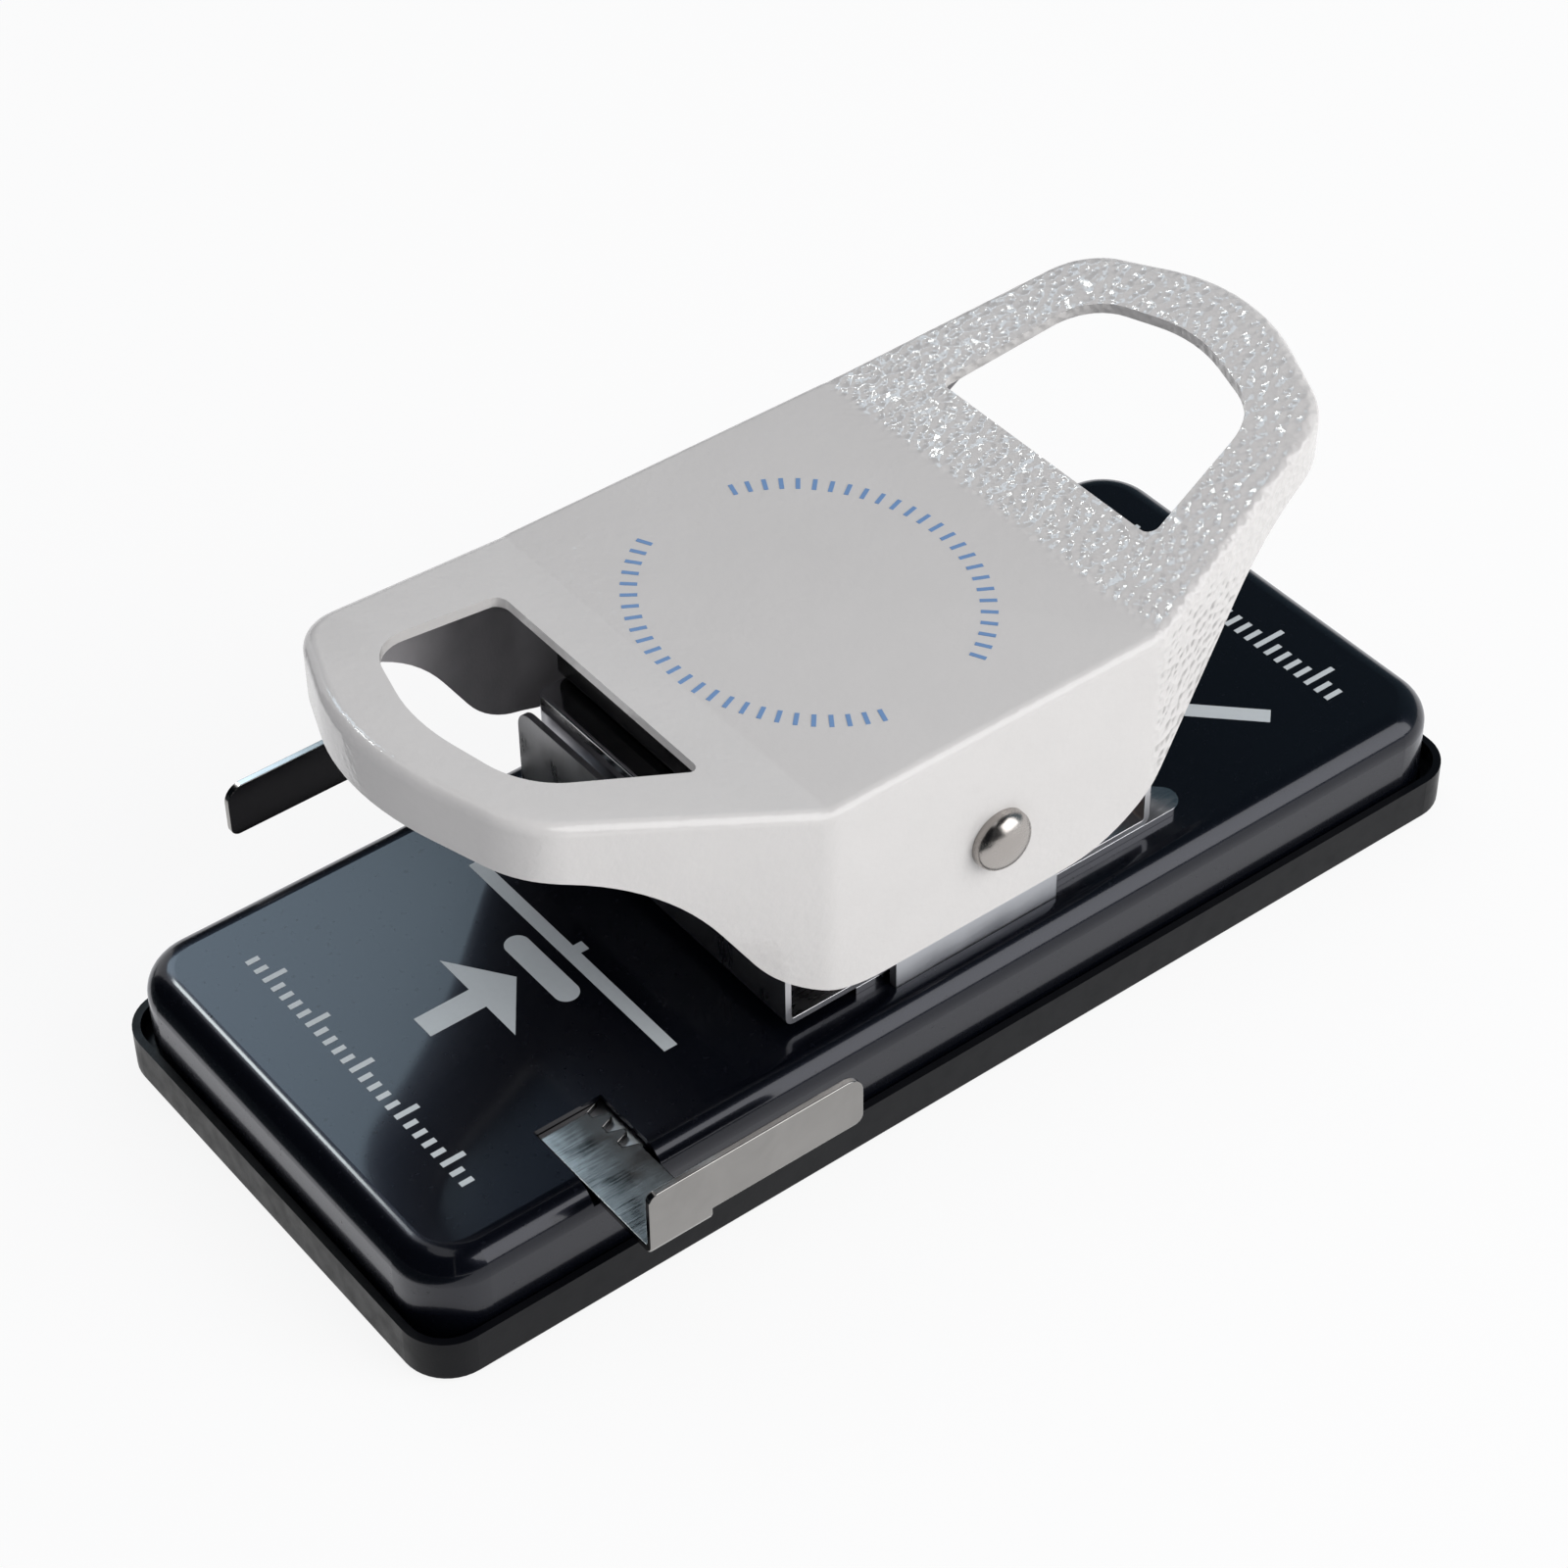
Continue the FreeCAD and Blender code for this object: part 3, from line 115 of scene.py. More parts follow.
class CardPunchColours(bpy.types.PropertyGroup):
    """Colours of the finishes."""

    enamel: tint("Handle enamel", "Textured enamel of the handle", "dbd8d5")
    cover: tint("Cover enamel", "Black stoving enamel of the cover", "07090f")
    tray: tint("Tray plastic", "Black plastic of the tray", "0c0d11")
    bright: tint("Bright plate", "Bright plated steel of the stack of plates", "cfcfd2")
    nickel: tint("Guide plate", "Plated steel of the card guides", "9c9a98")
    zinc: tint("Zinc plate", "Zinc plated steel of the bracket", "d2d4d9")
    ink: tint("White ink", "Ink of the marks on the cover", "d3d9db")
    blue: tint("Blue ink", "Ink of the ring on the handle", "7499c9")
    # Painted shade: the grey of the hollow side, darker than the enamel, stands in for the shade inside the
    # handle
    inside_shade: tint("Grey primer", "Primer on the hollow side of the handle", "b2afb1")


def sizes():
    return bpy.context.scene.card_punch_sizes


def colours():
    return bpy.context.scene.card_punch_colours


# Finishes

def add(tree, kind, values=None, links=None, **settings):
    """Adds a shader node with its settings, its socket values and the sockets that feed it."""
    node = tree.nodes.new(kind)
    for name, setting in settings.items():
        setattr(node, name, setting)
    for name, number in (values or {}).items():
        node.inputs[name].default_value = number
    for name, source in (links or {}).items():
        tree.links.new(source, node.inputs[name])
    return node


def blank_material(name):
    """Material with no nodes yet, and its tree."""
    material = bpy.data.materials.new(name)
    material.use_nodes = True
    tree = material.node_tree
    tree.nodes.clear()
    return material, tree


def start_finish(name, colour, values):
    """Material with one principled shader, and the point of the piece that its patterns read."""
    material, tree = blank_material(name)
    shader = add(tree, "ShaderNodeBsdfPrincipled", {"Base Color": colour, **values})
    add(tree, "ShaderNodeOutputMaterial", links={"Surface": shader.outputs["BSDF"]})
    place = add(tree, "ShaderNodeTexCoord").outputs["Object"]
    return material, tree, shader, place


def per_mm(width):
    """Scale of a pattern whose repeat is this many millimetres."""
    return 1 / (width * MM)


def darker(colour, share):
    """Colour at a share of its strength."""
    return [channel * share for channel in list(colour)[:3]] + [1.0]


def textured_enamel():
    """Powder coat, sprayed and baked: its dimples break a lamp's reflection into glints.

    They are deep on the right loop, past the crease, and nearly flat on the rest of the handle.
    """
    colour = colours().enamel
    dimple = sizes().dimple
    material, tree, shader, place = start_finish(
        "textured_powder_coat", colour,
        {"Roughness": 0.5, "IOR": 1.5, "Specular IOR Level": 0.2, "Coat Weight": 0.85,
         "Coat Roughness": 0.06})
    cloud = add(tree, "ShaderNodeTexNoise", {"Scale": per_mm(9.0), "Detail": 3.0}, {"Vector": place})
    tone = add(tree, "ShaderNodeMix", {"A": darker(colour, 0.94), "B": colour},
               {"Factor": cloud.outputs["Fac"]}, data_type="RGBA")
    tree.links.new(tone.outputs["Result"], shader.inputs["Base Color"])
    cells = add(tree, "ShaderNodeTexVoronoi",
                {"Scale": 1 / dimple, "Smoothness": 0.5, "Randomness": 1.0},
                {"Vector": place}, feature="SMOOTH_F1")
    ripple = add(tree, "ShaderNodeTexNoise", {"Scale": 2 / dimple, "Detail": 2.0}, {"Vector": place})
    along = add(tree, "ShaderNodeSeparateXYZ", links={"Vector": place})
    crease = PIVOT_X + CREASE_AT
    depth = add(tree, "ShaderNodeMapRange",
                {"From Min": crease - dimple, "From Max": crease, "To Min": 0.08, "To Max": 0.8},
                {"Value": along.outputs["X"]})
    fine = add(tree, "ShaderNodeBump", {"Distance": 0.12 * MM, "Strength": 0.25},
               {"Height": ripple.outputs["Fac"]})
    coarse = add(tree, "ShaderNodeBump", {"Distance": 0.4 * MM},
                 {"Height": cells.outputs["Distance"], "Strength": depth.outputs["Result"],
                  "Normal": fine.outputs["Normal"]})
    for socket in ("Normal", "Coat Normal"):
        tree.links.new(coarse.outputs["Normal"], shader.inputs[socket])
    return material


def painted_hollow_shade():
    """Painted shade: a grey darker than the enamel on the handle's hollow side, dull and patchy at random.
    """
    colour = colours().inside_shade
    material, tree, shader, place = start_finish(
        "painted_hollow_shade_grey", colour, {"Roughness": 0.6, "IOR": 1.5})
    patchiness = add(tree, "ShaderNodeTexNoise", {"Scale": per_mm(5.0), "Detail": 4.0}, {"Vector": place})
    tone = add(tree, "ShaderNodeMix", {"A": darker(colour, 0.7), "B": colour},
               {"Factor": patchiness.outputs["Fac"]}, data_type="RGBA")
    tree.links.new(tone.outputs["Result"], shader.inputs["Base Color"])
    grain = add(tree, "ShaderNodeTexNoise", {"Scale": per_mm(0.5), "Detail": 2.0}, {"Vector": place})
    bump = add(tree, "ShaderNodeBump", {"Distance": 0.05 * MM, "Strength": 0.4},
               {"Height": grain.outputs["Fac"]})
    tree.links.new(bump.outputs["Normal"], shader.inputs["Normal"])
    return material


def stoving_enamel():
    """Black stoving enamel, dipped and baked: clear gloss over a soft sheen, faint orange peel and dust."""
    colour = colours().cover
    material, tree, shader, place = start_finish(
        "black_stoving_enamel", colour,
        {"IOR": 1.5, "Specular IOR Level": 0.22, "Specular Tint": linear("d6daf2"),
         "Coat Weight": 0.55, "Coat Roughness": 0.1, "Coat IOR": 1.5, "Coat Tint": linear("eceefa")})
    dust = add(tree, "ShaderNodeTexNoise", {"Scale": per_mm(0.9), "Detail": 4.0}, {"Vector": place})
    dull = add(tree, "ShaderNodeMapRange",
               {"From Min": 0.66, "From Max": 0.74, "To Min": 0.26, "To Max": 0.5},
               {"Value": dust.outputs["Fac"]})
    tree.links.new(dull.outputs["Result"], shader.inputs["Roughness"])
    peel = add(tree, "ShaderNodeTexNoise", {"Scale": per_mm(3.5), "Detail": 1.0}, {"Vector": place})
    bump = add(tree, "ShaderNodeBump", {"Distance": 0.02 * MM, "Strength": 0.12},
               {"Height": peel.outputs["Fac"]})
    for socket in ("Normal", "Coat Normal"):
        tree.links.new(bump.outputs["Normal"], shader.inputs[socket])
    return material


def moulded_plastic(name, colour, roughness):
    """Moulded plastic with a spark-eroded grain: satin, with patches rubbed a little smoother."""
    material, tree, shader, place = start_finish(name, colour, {"IOR": 1.5, "Specular IOR Level": 0.12})
    rub = add(tree, "ShaderNodeTexNoise", {"Scale": per_mm(2.5), "Detail": 3.0}, {"Vector": place})
    gloss = add(tree, "ShaderNodeMapRange",
                {"From Min": 0.3, "From Max": 0.7, "To Min": roughness - 0.05, "To Max": roughness + 0.08},
                {"Value": rub.outputs["Fac"]})
    tree.links.new(gloss.outputs["Result"], shader.inputs["Roughness"])
    grain = add(tree, "ShaderNodeTexNoise", {"Scale": per_mm(0.35), "Detail": 2.0}, {"Vector": place})
    bump = add(tree, "ShaderNodeBump", {"Distance": 0.03 * MM, "Strength": 0.35},
               {"Height": grain.outputs["Fac"]})
    tree.links.new(bump.outputs["Normal"], shader.inputs["Normal"])
    return material


def rubber():
    """Moulded rubber: dull, with a chalky bloom."""
    colour = linear("151515")
    material, tree, shader, place = start_finish("moulded_rubber", colour, {"Roughness": 0.85, "IOR": 1.52})
    bloom = add(tree, "ShaderNodeTexNoise", {"Scale": per_mm(1.5), "Detail": 3.0}, {"Vector": place})
    tone = add(tree, "ShaderNodeMix", {"A": colour, "B": linear("242424")},
               {"Factor": bloom.outputs["Fac"]}, data_type="RGBA")
    tree.links.new(tone.outputs["Result"], shader.inputs["Base Color"])
    return material


def plated(name, colour, low, high, grain=(6.0, 0.25, 0.25), stain=0.9):
    """Plated steel: metal reflections softened along the rolling direction, with faint smudges.

    The rolling lines are drawn coarser than real ones, so that they show.
    """
    material, tree, shader, place = start_finish(name, colour, {"Metallic": 1.0})
    along = add(tree, "ShaderNodeMapping", {"Scale": [per_mm(width) for width in grain]},
                {"Vector": place})
    lines = add(tree, "ShaderNodeTexNoise", {"Scale": 1.0, "Detail": 3.0},
                {"Vector": along.outputs["Vector"]})
    smudge = add(tree, "ShaderNodeTexNoise", {"Scale": per_mm(6.0), "Detail": 4.0, "Distortion": 0.6},
                 {"Vector": place})
    wear = add(tree, "ShaderNodeMix", {"Factor": 0.6},
               {"A": lines.outputs["Fac"], "B": smudge.outputs["Fac"]})
    gloss = add(tree, "ShaderNodeMapRange",
                {"From Min": 0.35, "From Max": 0.65, "To Min": low, "To Max": high},
                {"Value": wear.outputs["Result"]})
    tree.links.new(gloss.outputs["Result"], shader.inputs["Roughness"])
    tone = add(tree, "ShaderNodeMix", {"A": darker(colour, stain), "B": colour},
               {"Factor": smudge.outputs["Fac"]}, data_type="RGBA")
    tree.links.new(tone.outputs["Result"], shader.inputs["Base Color"])
    bump = add(tree, "ShaderNodeBump", {"Distance": 0.01 * MM, "Strength": 0.15},
               {"Height": lines.outputs["Fac"]})
    tree.links.new(bump.outputs["Normal"], shader.inputs["Normal"])
    return material


def black_paint():
    """Semi-gloss black paint on the pressing frame, with fine overspray grain."""
    material, tree, shader, place = start_finish(
        "semi_gloss_black_paint", linear("050506"), {"IOR": 1.5, "Roughness": 0.22})
    spray = add(tree, "ShaderNodeTexNoise", {"Scale": per_mm(0.6), "Detail": 3.0}, {"Vector": place})
    bump = add(tree, "ShaderNodeBump", {"Distance": 0.06 * MM, "Strength": 0.35},
               {"Height": spray.outputs["Fac"]})
    tree.links.new(bump.outputs["Normal"], shader.inputs["Normal"])
    return material


def printed_ink(name, colour):
    """Screen-printed ink: flat and even, with tiny pinholes at the mesh."""
    material, tree, shader, place = start_finish(name, colour, {"Roughness": 0.42, "IOR": 1.5})
    holes = add(tree, "ShaderNodeTexNoise", {"Scale": per_mm(0.8), "Detail": 3.0}, {"Vector": place})
    tone = add(tree, "ShaderNodeMix", {"A": darker(colour, 0.93), "B": colour},
               {"Factor": holes.outputs["Fac"]}, data_type="RGBA")
    tree.links.new(tone.outputs["Result"], shader.inputs["Base Color"])
    return material


# Pieces

def dress(node, material):
    """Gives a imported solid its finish."""
    piece = frame["nodes"][node]
    piece.data.materials.clear()
    piece.data.materials.append(material)


def soften(node, name, body, material, edge_mm):
    """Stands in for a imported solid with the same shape, its sharp edges broken as on the real sheet."""
    mesh = frame["nodes"][node].data.copy()
    mesh.name = name
    form = bmesh.new()
    form.from_mesh(mesh)
    bmesh.ops.remove_doubles(form, verts=form.verts, dist=0.001 * MM)
    bmesh.ops.dissolve_limit(form, angle_limit=math.radians(0.2), verts=form.verts, edges=form.edges)
    bmesh.ops.recalc_face_normals(form, faces=form.faces)
    form.to_mesh(mesh)
    form.free()
    mesh.materials.clear()
    mesh.materials.append(material)
    piece = bpy.data.objects.new(name, mesh)
    bpy.context.scene.collection.objects.link(piece)
    if mesh.has_custom_normals:
        mesh.attributes.remove(mesh.attributes["custom_normal"])
    mesh.shade_smooth()
    mesh.set_sharp_from_angle(angle=math.radians(30))
    bevel = piece.modifiers.new("Broken edge", "BEVEL")
    bevel.width = edge_mm * MM
    bevel.segments = 2
    bevel.limit_method = "ANGLE"
    bevel.angle_limit = math.radians(40)
    bevel.harden_normals = True
    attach(piece, body)
    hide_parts(node)
    return piece


def build(form, name, material):
    """Makes an object of a bmesh, with its finish."""
    mesh = bpy.data.meshes.new(name)
    form.to_mesh(mesh)
    form.free()
    mesh.materials.append(material)
    thing = bpy.data.objects.new(name, mesh)
    bpy.context.scene.collection.objects.link(thing)
    return thing


def settle(form, name, body, material):
    """Makes a finished piece of a bmesh and rides it on its body."""
    bmesh.ops.recalc_face_normals(form, faces=form.faces)
    piece = build(form, name, material)
    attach(piece, body)
    return piece


def raise_ink(form):
    """Turns flat outlines into a film of ink."""
    risen = bmesh.ops.extrude_face_region(form, geom=form.faces[:])
    corners = [item for item in risen["geom"] if isinstance(item, bmesh.types.BMVert)]
    bmesh.ops.translate(form, verts=corners, vec=(0, 0, sizes().ink))


def bar(form, centre, size, turn=0.0):
    """Flat bar in plan, turned about its own middle."""
    place = Matrix.Translation(centre) @ Matrix.Rotation(turn, 4, "Z")
    shape = Matrix.Diagonal((size[0], size[1], 1, 1))
    bmesh.ops.create_grid(form, x_segments=1, y_segments=1, size=0.5, matrix=place @ shape)


COVER_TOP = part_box("base_cover")[1].z

# Handle: its pivot, flat panel, creases and the slope of its bent-up loops
PIVOT_X = 3.5 * MM
PANEL_TOP = 57.3 * MM
PANEL_WALL = 1.5 * MM
CREASE_AT = 26.2 * MM
LOOP_SLOPE = math.tan(math.radians(16.9))

# Hollow of the handle: how squarely a face of its ceiling looks down and how far one of its walls may
# lean, and how near to the panel's underside the ceiling lies and how far under it the walls begin
LOOKS_DOWN = -0.8
MAY_LEAN = 0.3
CEILING_NEAR = 0.3 * MM
WALL_BELOW = 0.2 * MM

# Back guide: where its flange's right end begins, from the pivot, and how far the end is cut back
BACK_FLANGE_END = -36.0 * MM
BACK_FLANGE_CUT = 8.0 * MM

# Corners of the arrow in plan, in millimetres, and its faces: the shaft and three parts of the head
ARROW = ((-46.3, 0.7), (-52.3, 9.2), (-52.3, 2.6), (-60.7, 2.6), (-60.7, -1.2), (-52.3, -1.2), (-52.3, -7.6))
ARROW_FACES = ((2, 3, 4, 5), (0, 1, 2), (0, 2, 5), (0, 5, 6))

# Other marks on the cover, in plan: the cross line, the tick on it, the slot and the vee's arms.
# The slot's corners are odd in number, so that none lies on its middle line
LINE_X = -38.4 * MM
LINE_TICK_X = -36.75 * MM
LINE_TICK_SIZE = (1.3 * MM, 1.7 * MM)
SLOT_X = -42.9 * MM
SLOT_CORNERS = 47
VEE_X = 51.5 * MM
VEE_Y = 11.0 * MM
ARM_LONG = 31.1 * MM
ARM_TURN = math.radians(45)

# Scales: the name, middle and longest tick of each, how far both reach from the base's middle, which
# ticks are long, and a short tick's share of a long one
SCALES = (("left_scale", -70.2, 3.4), ("right_scale", 73.4, 5.2))
SCALE_REACH = 26.0 * MM
LONG_TICK_EVERY = 5
SHORT_TICK = 0.55

# Ring on the panel: its middle, and where its two arcs start and end, in degrees
RING_MIDDLE = Vector((-0.3 * MM, -0.9 * MM, PANEL_TOP))
RING_ARCS = ((-64.0, 74.0), (116.0, 252.0))


def draw_arrow(form):
    corners = [form.verts.new((x * MM, y * MM, COVER_TOP)) for x, y in ARROW]
    for face in ARROW_FACES:
        bmesh.ops.contextual_create(form, geom=[corners[index] for index in face])


def draw_slot(form):
    """Slot with round ends: a disc whose two halves are pulled apart."""
    size = sizes()
    bmesh.ops.create_circle(form, cap_ends=True, segments=SLOT_CORNERS, radius=size.slot_width / 2,
                            matrix=Matrix.Translation((SLOT_X, 0, COVER_TOP)))
    pull = size.slot_reach - size.slot_width / 2
    for sign in (1, -1):
        ends = [corner for corner in form.verts if corner.co.y * sign > 0]
        bmesh.ops.translate(form, verts=ends, vec=(0, sign * pull, 0))


def draw_scale(form, x, long):
    """Row of ticks whose outer ends line up, some of them long."""
    size = sizes()
    count = int(SCALE_REACH / size.tick_pitch)
    for index in range(-count, count + 1):
        share = 1.0 if index % LONG_TICK_EVERY == 0 else SHORT_TICK
        tick = long * share * MM
        start = x * MM - long * MM / 2 + tick / 2
        bar(form, (start, index * size.tick_pitch, COVER_TOP), (tick, size.tick_width))


def make_cover_marks():
    """White marks on the cover: cross line and tick, slot, arrow, vee and two scales."""
    size = sizes()
    white = printed_ink("white_screen_ink", colours().ink)
    names = ("cross_line", "slot_mark", "arrow_mark", "vee_mark", "left_scale", "right_scale")
    marks = {name: bmesh.new() for name in names}
    bar(marks["cross_line"], (LINE_X, 0, COVER_TOP), (size.line_width, 2 * size.line_reach))
    bar(marks["cross_line"], (LINE_TICK_X, 0, COVER_TOP), LINE_TICK_SIZE)
    draw_slot(marks["slot_mark"])
    draw_arrow(marks["arrow_mark"])
    for sign in (1, -1):
        middle = (VEE_X, sign * VEE_Y, COVER_TOP)
        bar(marks["vee_mark"], middle, (ARM_LONG, size.arm_width), sign * ARM_TURN)
    for name, x, long in SCALES:
        draw_scale(marks[name], x, long)
    for name, form in marks.items():
        raise_ink(form)
        settle(form, name, "base", white)


def make_ring():
    """Blue ring of dashes on the handle's flat panel, in two arcs."""
    size = sizes()
    blue = printed_ink("blue_screen_ink", colours().blue)
    form = bmesh.new()
    for start, end in RING_ARCS:
        for index in range(size.dash_count):
            angle = math.radians(start + (end - start) * index / (size.dash_count - 1))
            reach = Vector((size.ring_width * math.cos(angle), size.ring_depth * math.sin(angle), 0))
            bar(form, RING_MIDDLE + reach, (size.dash_long, size.dash_wide), angle)
    raise_ink(form)
    settle(form, "panel_ring", "handle", blue)


def make_cover():
    dress("base_cover", stoving_enamel())
    dress("chip_tray", moulded_plastic("satin_black_abs", colours().tray, 0.34))
    dress("rubber_feet", rubber())


def shade_hollow_faces(piece, inside_shade):
    """Gives the faces that look into the handle's hollow the darker grey of painted shade."""
    piece.data.materials.append(inside_shade)
    for face in piece.data.polygons:
        outwards = Vector((face.center.x - PIVOT_X, face.center.y, 0))
        under = PANEL_TOP - PANEL_WALL + max(0.0, abs(outwards.x) - CREASE_AT) * LOOP_SLOPE
        below = under - face.center.z
        ceiling = face.normal.z < LOOKS_DOWN and abs(below) < CEILING_NEAR
        wall = abs(face.normal.z) < MAY_LEAN and below > WALL_BELOW and outwards.dot(face.normal) < 0
        if ceiling or wall:
            face.material_index = 1


def make_handle():
    shell = soften("handle_shell", "painted_handle", "handle", textured_enamel(), 0.45)
    # The hollow side of the shell gets a darker grey: painted shade
    shade_hollow_faces(shell, painted_hollow_shade())
    dress("press_frame", black_paint())
    dress("pivot_pin", plated("polished_steel", linear("b3aeaa"), 0.2, 0.3))


def make_guides():
    nickel = plated("nickel_plated_sheet", colours().nickel, 0.08, 0.22, stain=0.75)
    soften("front_guide", "front_card_guide", "front_guide", nickel, 0.2)
    back = soften("back_guide", "back_card_guide", "back_guide", nickel, 0.2)
    # The back guide's flange stops short of the hand hole, which shows nothing of it
    for corner in back.data.vertices:
        if corner.co.z > COVER_TOP and corner.co.x > PIVOT_X + BACK_FLANGE_END:
            corner.co.x -= BACK_FLANGE_CUT
    dress("pinion", plated("cut_brass", linear("c9a45a"), 0.2, 0.35))


def make_plates():
    bright = plated("bright_plated_sheet", colours().bright, 0.05, 0.14)
    bent = plated("bright_bent_sheet", colours().bright, 0.22, 0.45, (6.0, 0.5, 6.0))
    soften("card_stop", "bright_card_stop", "base", bright, 0.4)
    soften("top_frame", "bright_top_frame", "base", bent, 0.25)
    soften("slot_carrier", "bright_slot_carrier", "slot_tool", bright, 0.2)
    soften("corner_carrier", "bright_corner_carrier", "corner_tool", bright, 0.2)
    dress("die_plate", bright)
    ground = plated("ground_tool_steel", linear("a9a8a8"), 0.22, 0.34)
    for node in ("slot_die", "corner_die", "slot_punch", "corner_punch", "slot_guide_pins",
                 "corner_guide_pins"):
        dress(node, ground)


def make_inside():
    zinc = plated("bright_zinc_plate", colours().zinc, 0.34, 0.5)
    soften("pivot_bracket", "zinc_pivot_bracket", "base", zinc, 0.2)
    dress("guide_bed", zinc)
    dress("pinion_stud", zinc)
    dress("pivot_bushes", moulded_plastic("natural_nylon", linear("dad5c6"), 0.4))
    dress("guide_bushes", plated("sintered_bronze", linear("a5794a"), 0.35, 0.5, (1.0, 1.0, 1.0)))
    dress("frame_screws", plated("black_oxide_steel", linear("26272a"), 0.3, 0.45))
    wire = plated("drawn_spring_steel", linear("8f8f92"), 0.2, 0.32)
    for node in ("slot_spring_front", "slot_spring_back", "corner_spring_front", "corner_spring_back"):
        dress(node, wire)


# Stage

# Camera: its direction from the object, its roll, the point that it aims at and its distance from
# there, and its focal length in pixels of a square picture
AZIMUTH = math.radians(-37.36)
ELEVATION = math.radians(42.33)
ROLL = math.radians(-0.76)
DISTANCE = 0.5588
AIM = Vector((0.01434, 0.02378, 0))
LENS_PX = 4076.8
PICTURE_PX = 1600
SENSOR_MM = 36.0

# Lamps: direction from the object, distance and width in metres, and power in watts
KEY_LAMP = ((0.55, -0.85, 0.6), 1.1, 0.9, 8.3)
BACK_LAMP = ((-0.05, 0.75, 1.0), 1.2, 0.6, 1.0)

# Strength of the world's soft light, and the floor's radius and its share of plain white
WORLD_GLOW = 0.5
FLOOR_REACH = 6.0
FLOOR_GLOW = 0.88
SHOWN_RAYS = ("Is Camera Ray", "Is Glossy Ray", "Is Transmission Ray")

# Cards: their distance in metres, and directions as azimuth and elevation in degrees, see toward
CARD_AWAY = 1.6
CURVED_AWAY = CARD_AWAY * 1.1
SOFT_BOX_LOW = (29.8, 44.5)
SOFT_BOX_HIGH = (26.4, 49.8)
SOFT_BOX_WIDTH = 0.75
SOFT_BOX_FADE = 0.35
GLINT_LAMP = (-1.0, 51.0)
GLINT_AWAY = 1.5
GLINT_HALF_WIDTH = 0.1
FLOOR_CARD_MIDDLE = (-0.6, 0.2, 0.0002)
FLOOR_CARD_SIZE = (1.0, 1.8)
ALONG_BASE = Vector((1, 0, 0))


def make_camera():
    back = Vector((math.sin(AZIMUTH) * math.cos(ELEVATION), -math.cos(AZIMUTH) * math.cos(ELEVATION),
                   math.sin(ELEVATION)))
    level = Vector((math.cos(AZIMUTH), math.sin(AZIMUTH), 0))
    rise = back.cross(level)
    right = level * math.cos(ROLL) + rise * math.sin(ROLL)
    up = rise * math.cos(ROLL) - level * math.sin(ROLL)
    data = bpy.data.cameras.new("Camera")
    data.sensor_width = SENSOR_MM
    data.lens = LENS_PX / PICTURE_PX * SENSOR_MM
    data.clip_start = 0.01
    data.clip_end = 50
    camera = bpy.data.objects.new("Camera", data)
    turn = Matrix((right, up, back)).transposed().to_4x4()
    camera.matrix_world = Matrix.Translation(AIM + back * DISTANCE) @ turn
    bpy.context.scene.collection.objects.link(camera)
    bpy.context.scene.camera = camera


def make_lamp(name, direction, away, size, power):
    """Soft square lamp that shines on the middle of the object from a direction."""
    data = bpy.data.lights.new(name, "AREA")
    data.shape = "SQUARE"
    data.size = size
    data.energy = power
    lamp = bpy.data.objects.new(name, data)
    way = Vector(direction).normalized()
    lamp.location = way * away
    lamp.rotation_euler = way.to_track_quat("Z", "Y").to_euler()
    bpy.context.scene.collection.objects.link(lamp)
    return lamp


def shown(tree):
    """One where the camera, a reflection or glass looks at the surface, else nought."""
    path = add(tree, "ShaderNodeLightPath")
    total = path.outputs[SHOWN_RAYS[0]]
    for kind in SHOWN_RAYS[1:]:
        either = add(tree, "ShaderNodeMath", links={0: total, 1: path.outputs[kind]}, operation="MAXIMUM")
        total = either.outputs[0]
    return total


def make_world():
    """Soft even light, which shows as plain white."""
    world = bpy.data.worlds.new("Studio")
    bpy.context.scene.world = world
    world.use_nodes = True
    tree = world.node_tree
    tree.nodes.clear()
    soft = add(tree, "ShaderNodeBackground", {"Color": linear("f7f9ff"), "Strength": WORLD_GLOW})
    pale = add(tree, "ShaderNodeBackground", {"Color": linear("ffffff"), "Strength": 1.0})
    mix = add(tree, "ShaderNodeMixShader",
              links={"Fac": shown(tree), 1: soft.outputs[0], 2: pale.outputs[0]})
    add(tree, "ShaderNodeOutputWorld", links={"Surface": mix.outputs[0]})


def show_stage(form, name, material):
    """Makes a stage piece of a bmesh."""
    thing = build(form, name, material)
    return thing


def make_floor():
    """Pale paper, nearly white to the eye, that keeps the object's shadow."""
    material, tree = blank_material("pale_paper")
    paper = add(tree, "ShaderNodeBsdfDiffuse", {"Color": linear("f8f8f8")})
    glow = add(tree, "ShaderNodeEmission", {"Color": linear("ffffff"), "Strength": 1.0})
    share = add(tree, "ShaderNodeMath", {1: FLOOR_GLOW}, {0: shown(tree)}, operation="MULTIPLY")
    mix = add(tree, "ShaderNodeMixShader",
              links={"Fac": share.outputs[0], 1: paper.outputs[0], 2: glow.outputs[0]})
    add(tree, "ShaderNodeOutputMaterial", links={"Surface": mix.outputs[0]})
    form = bmesh.new()
    bmesh.ops.create_circle(form, cap_ends=True, segments=96, radius=FLOOR_REACH)
    show_stage(form, "floor", material)


def toward(azimuth, elevation):
    """Direction from the object, its azimuth in degrees from the back towards the right end."""
    turn = math.radians(azimuth)
    rise = math.radians(elevation)
    return Vector((math.sin(turn) * math.cos(rise), math.cos(turn) * math.cos(rise), math.sin(rise)))


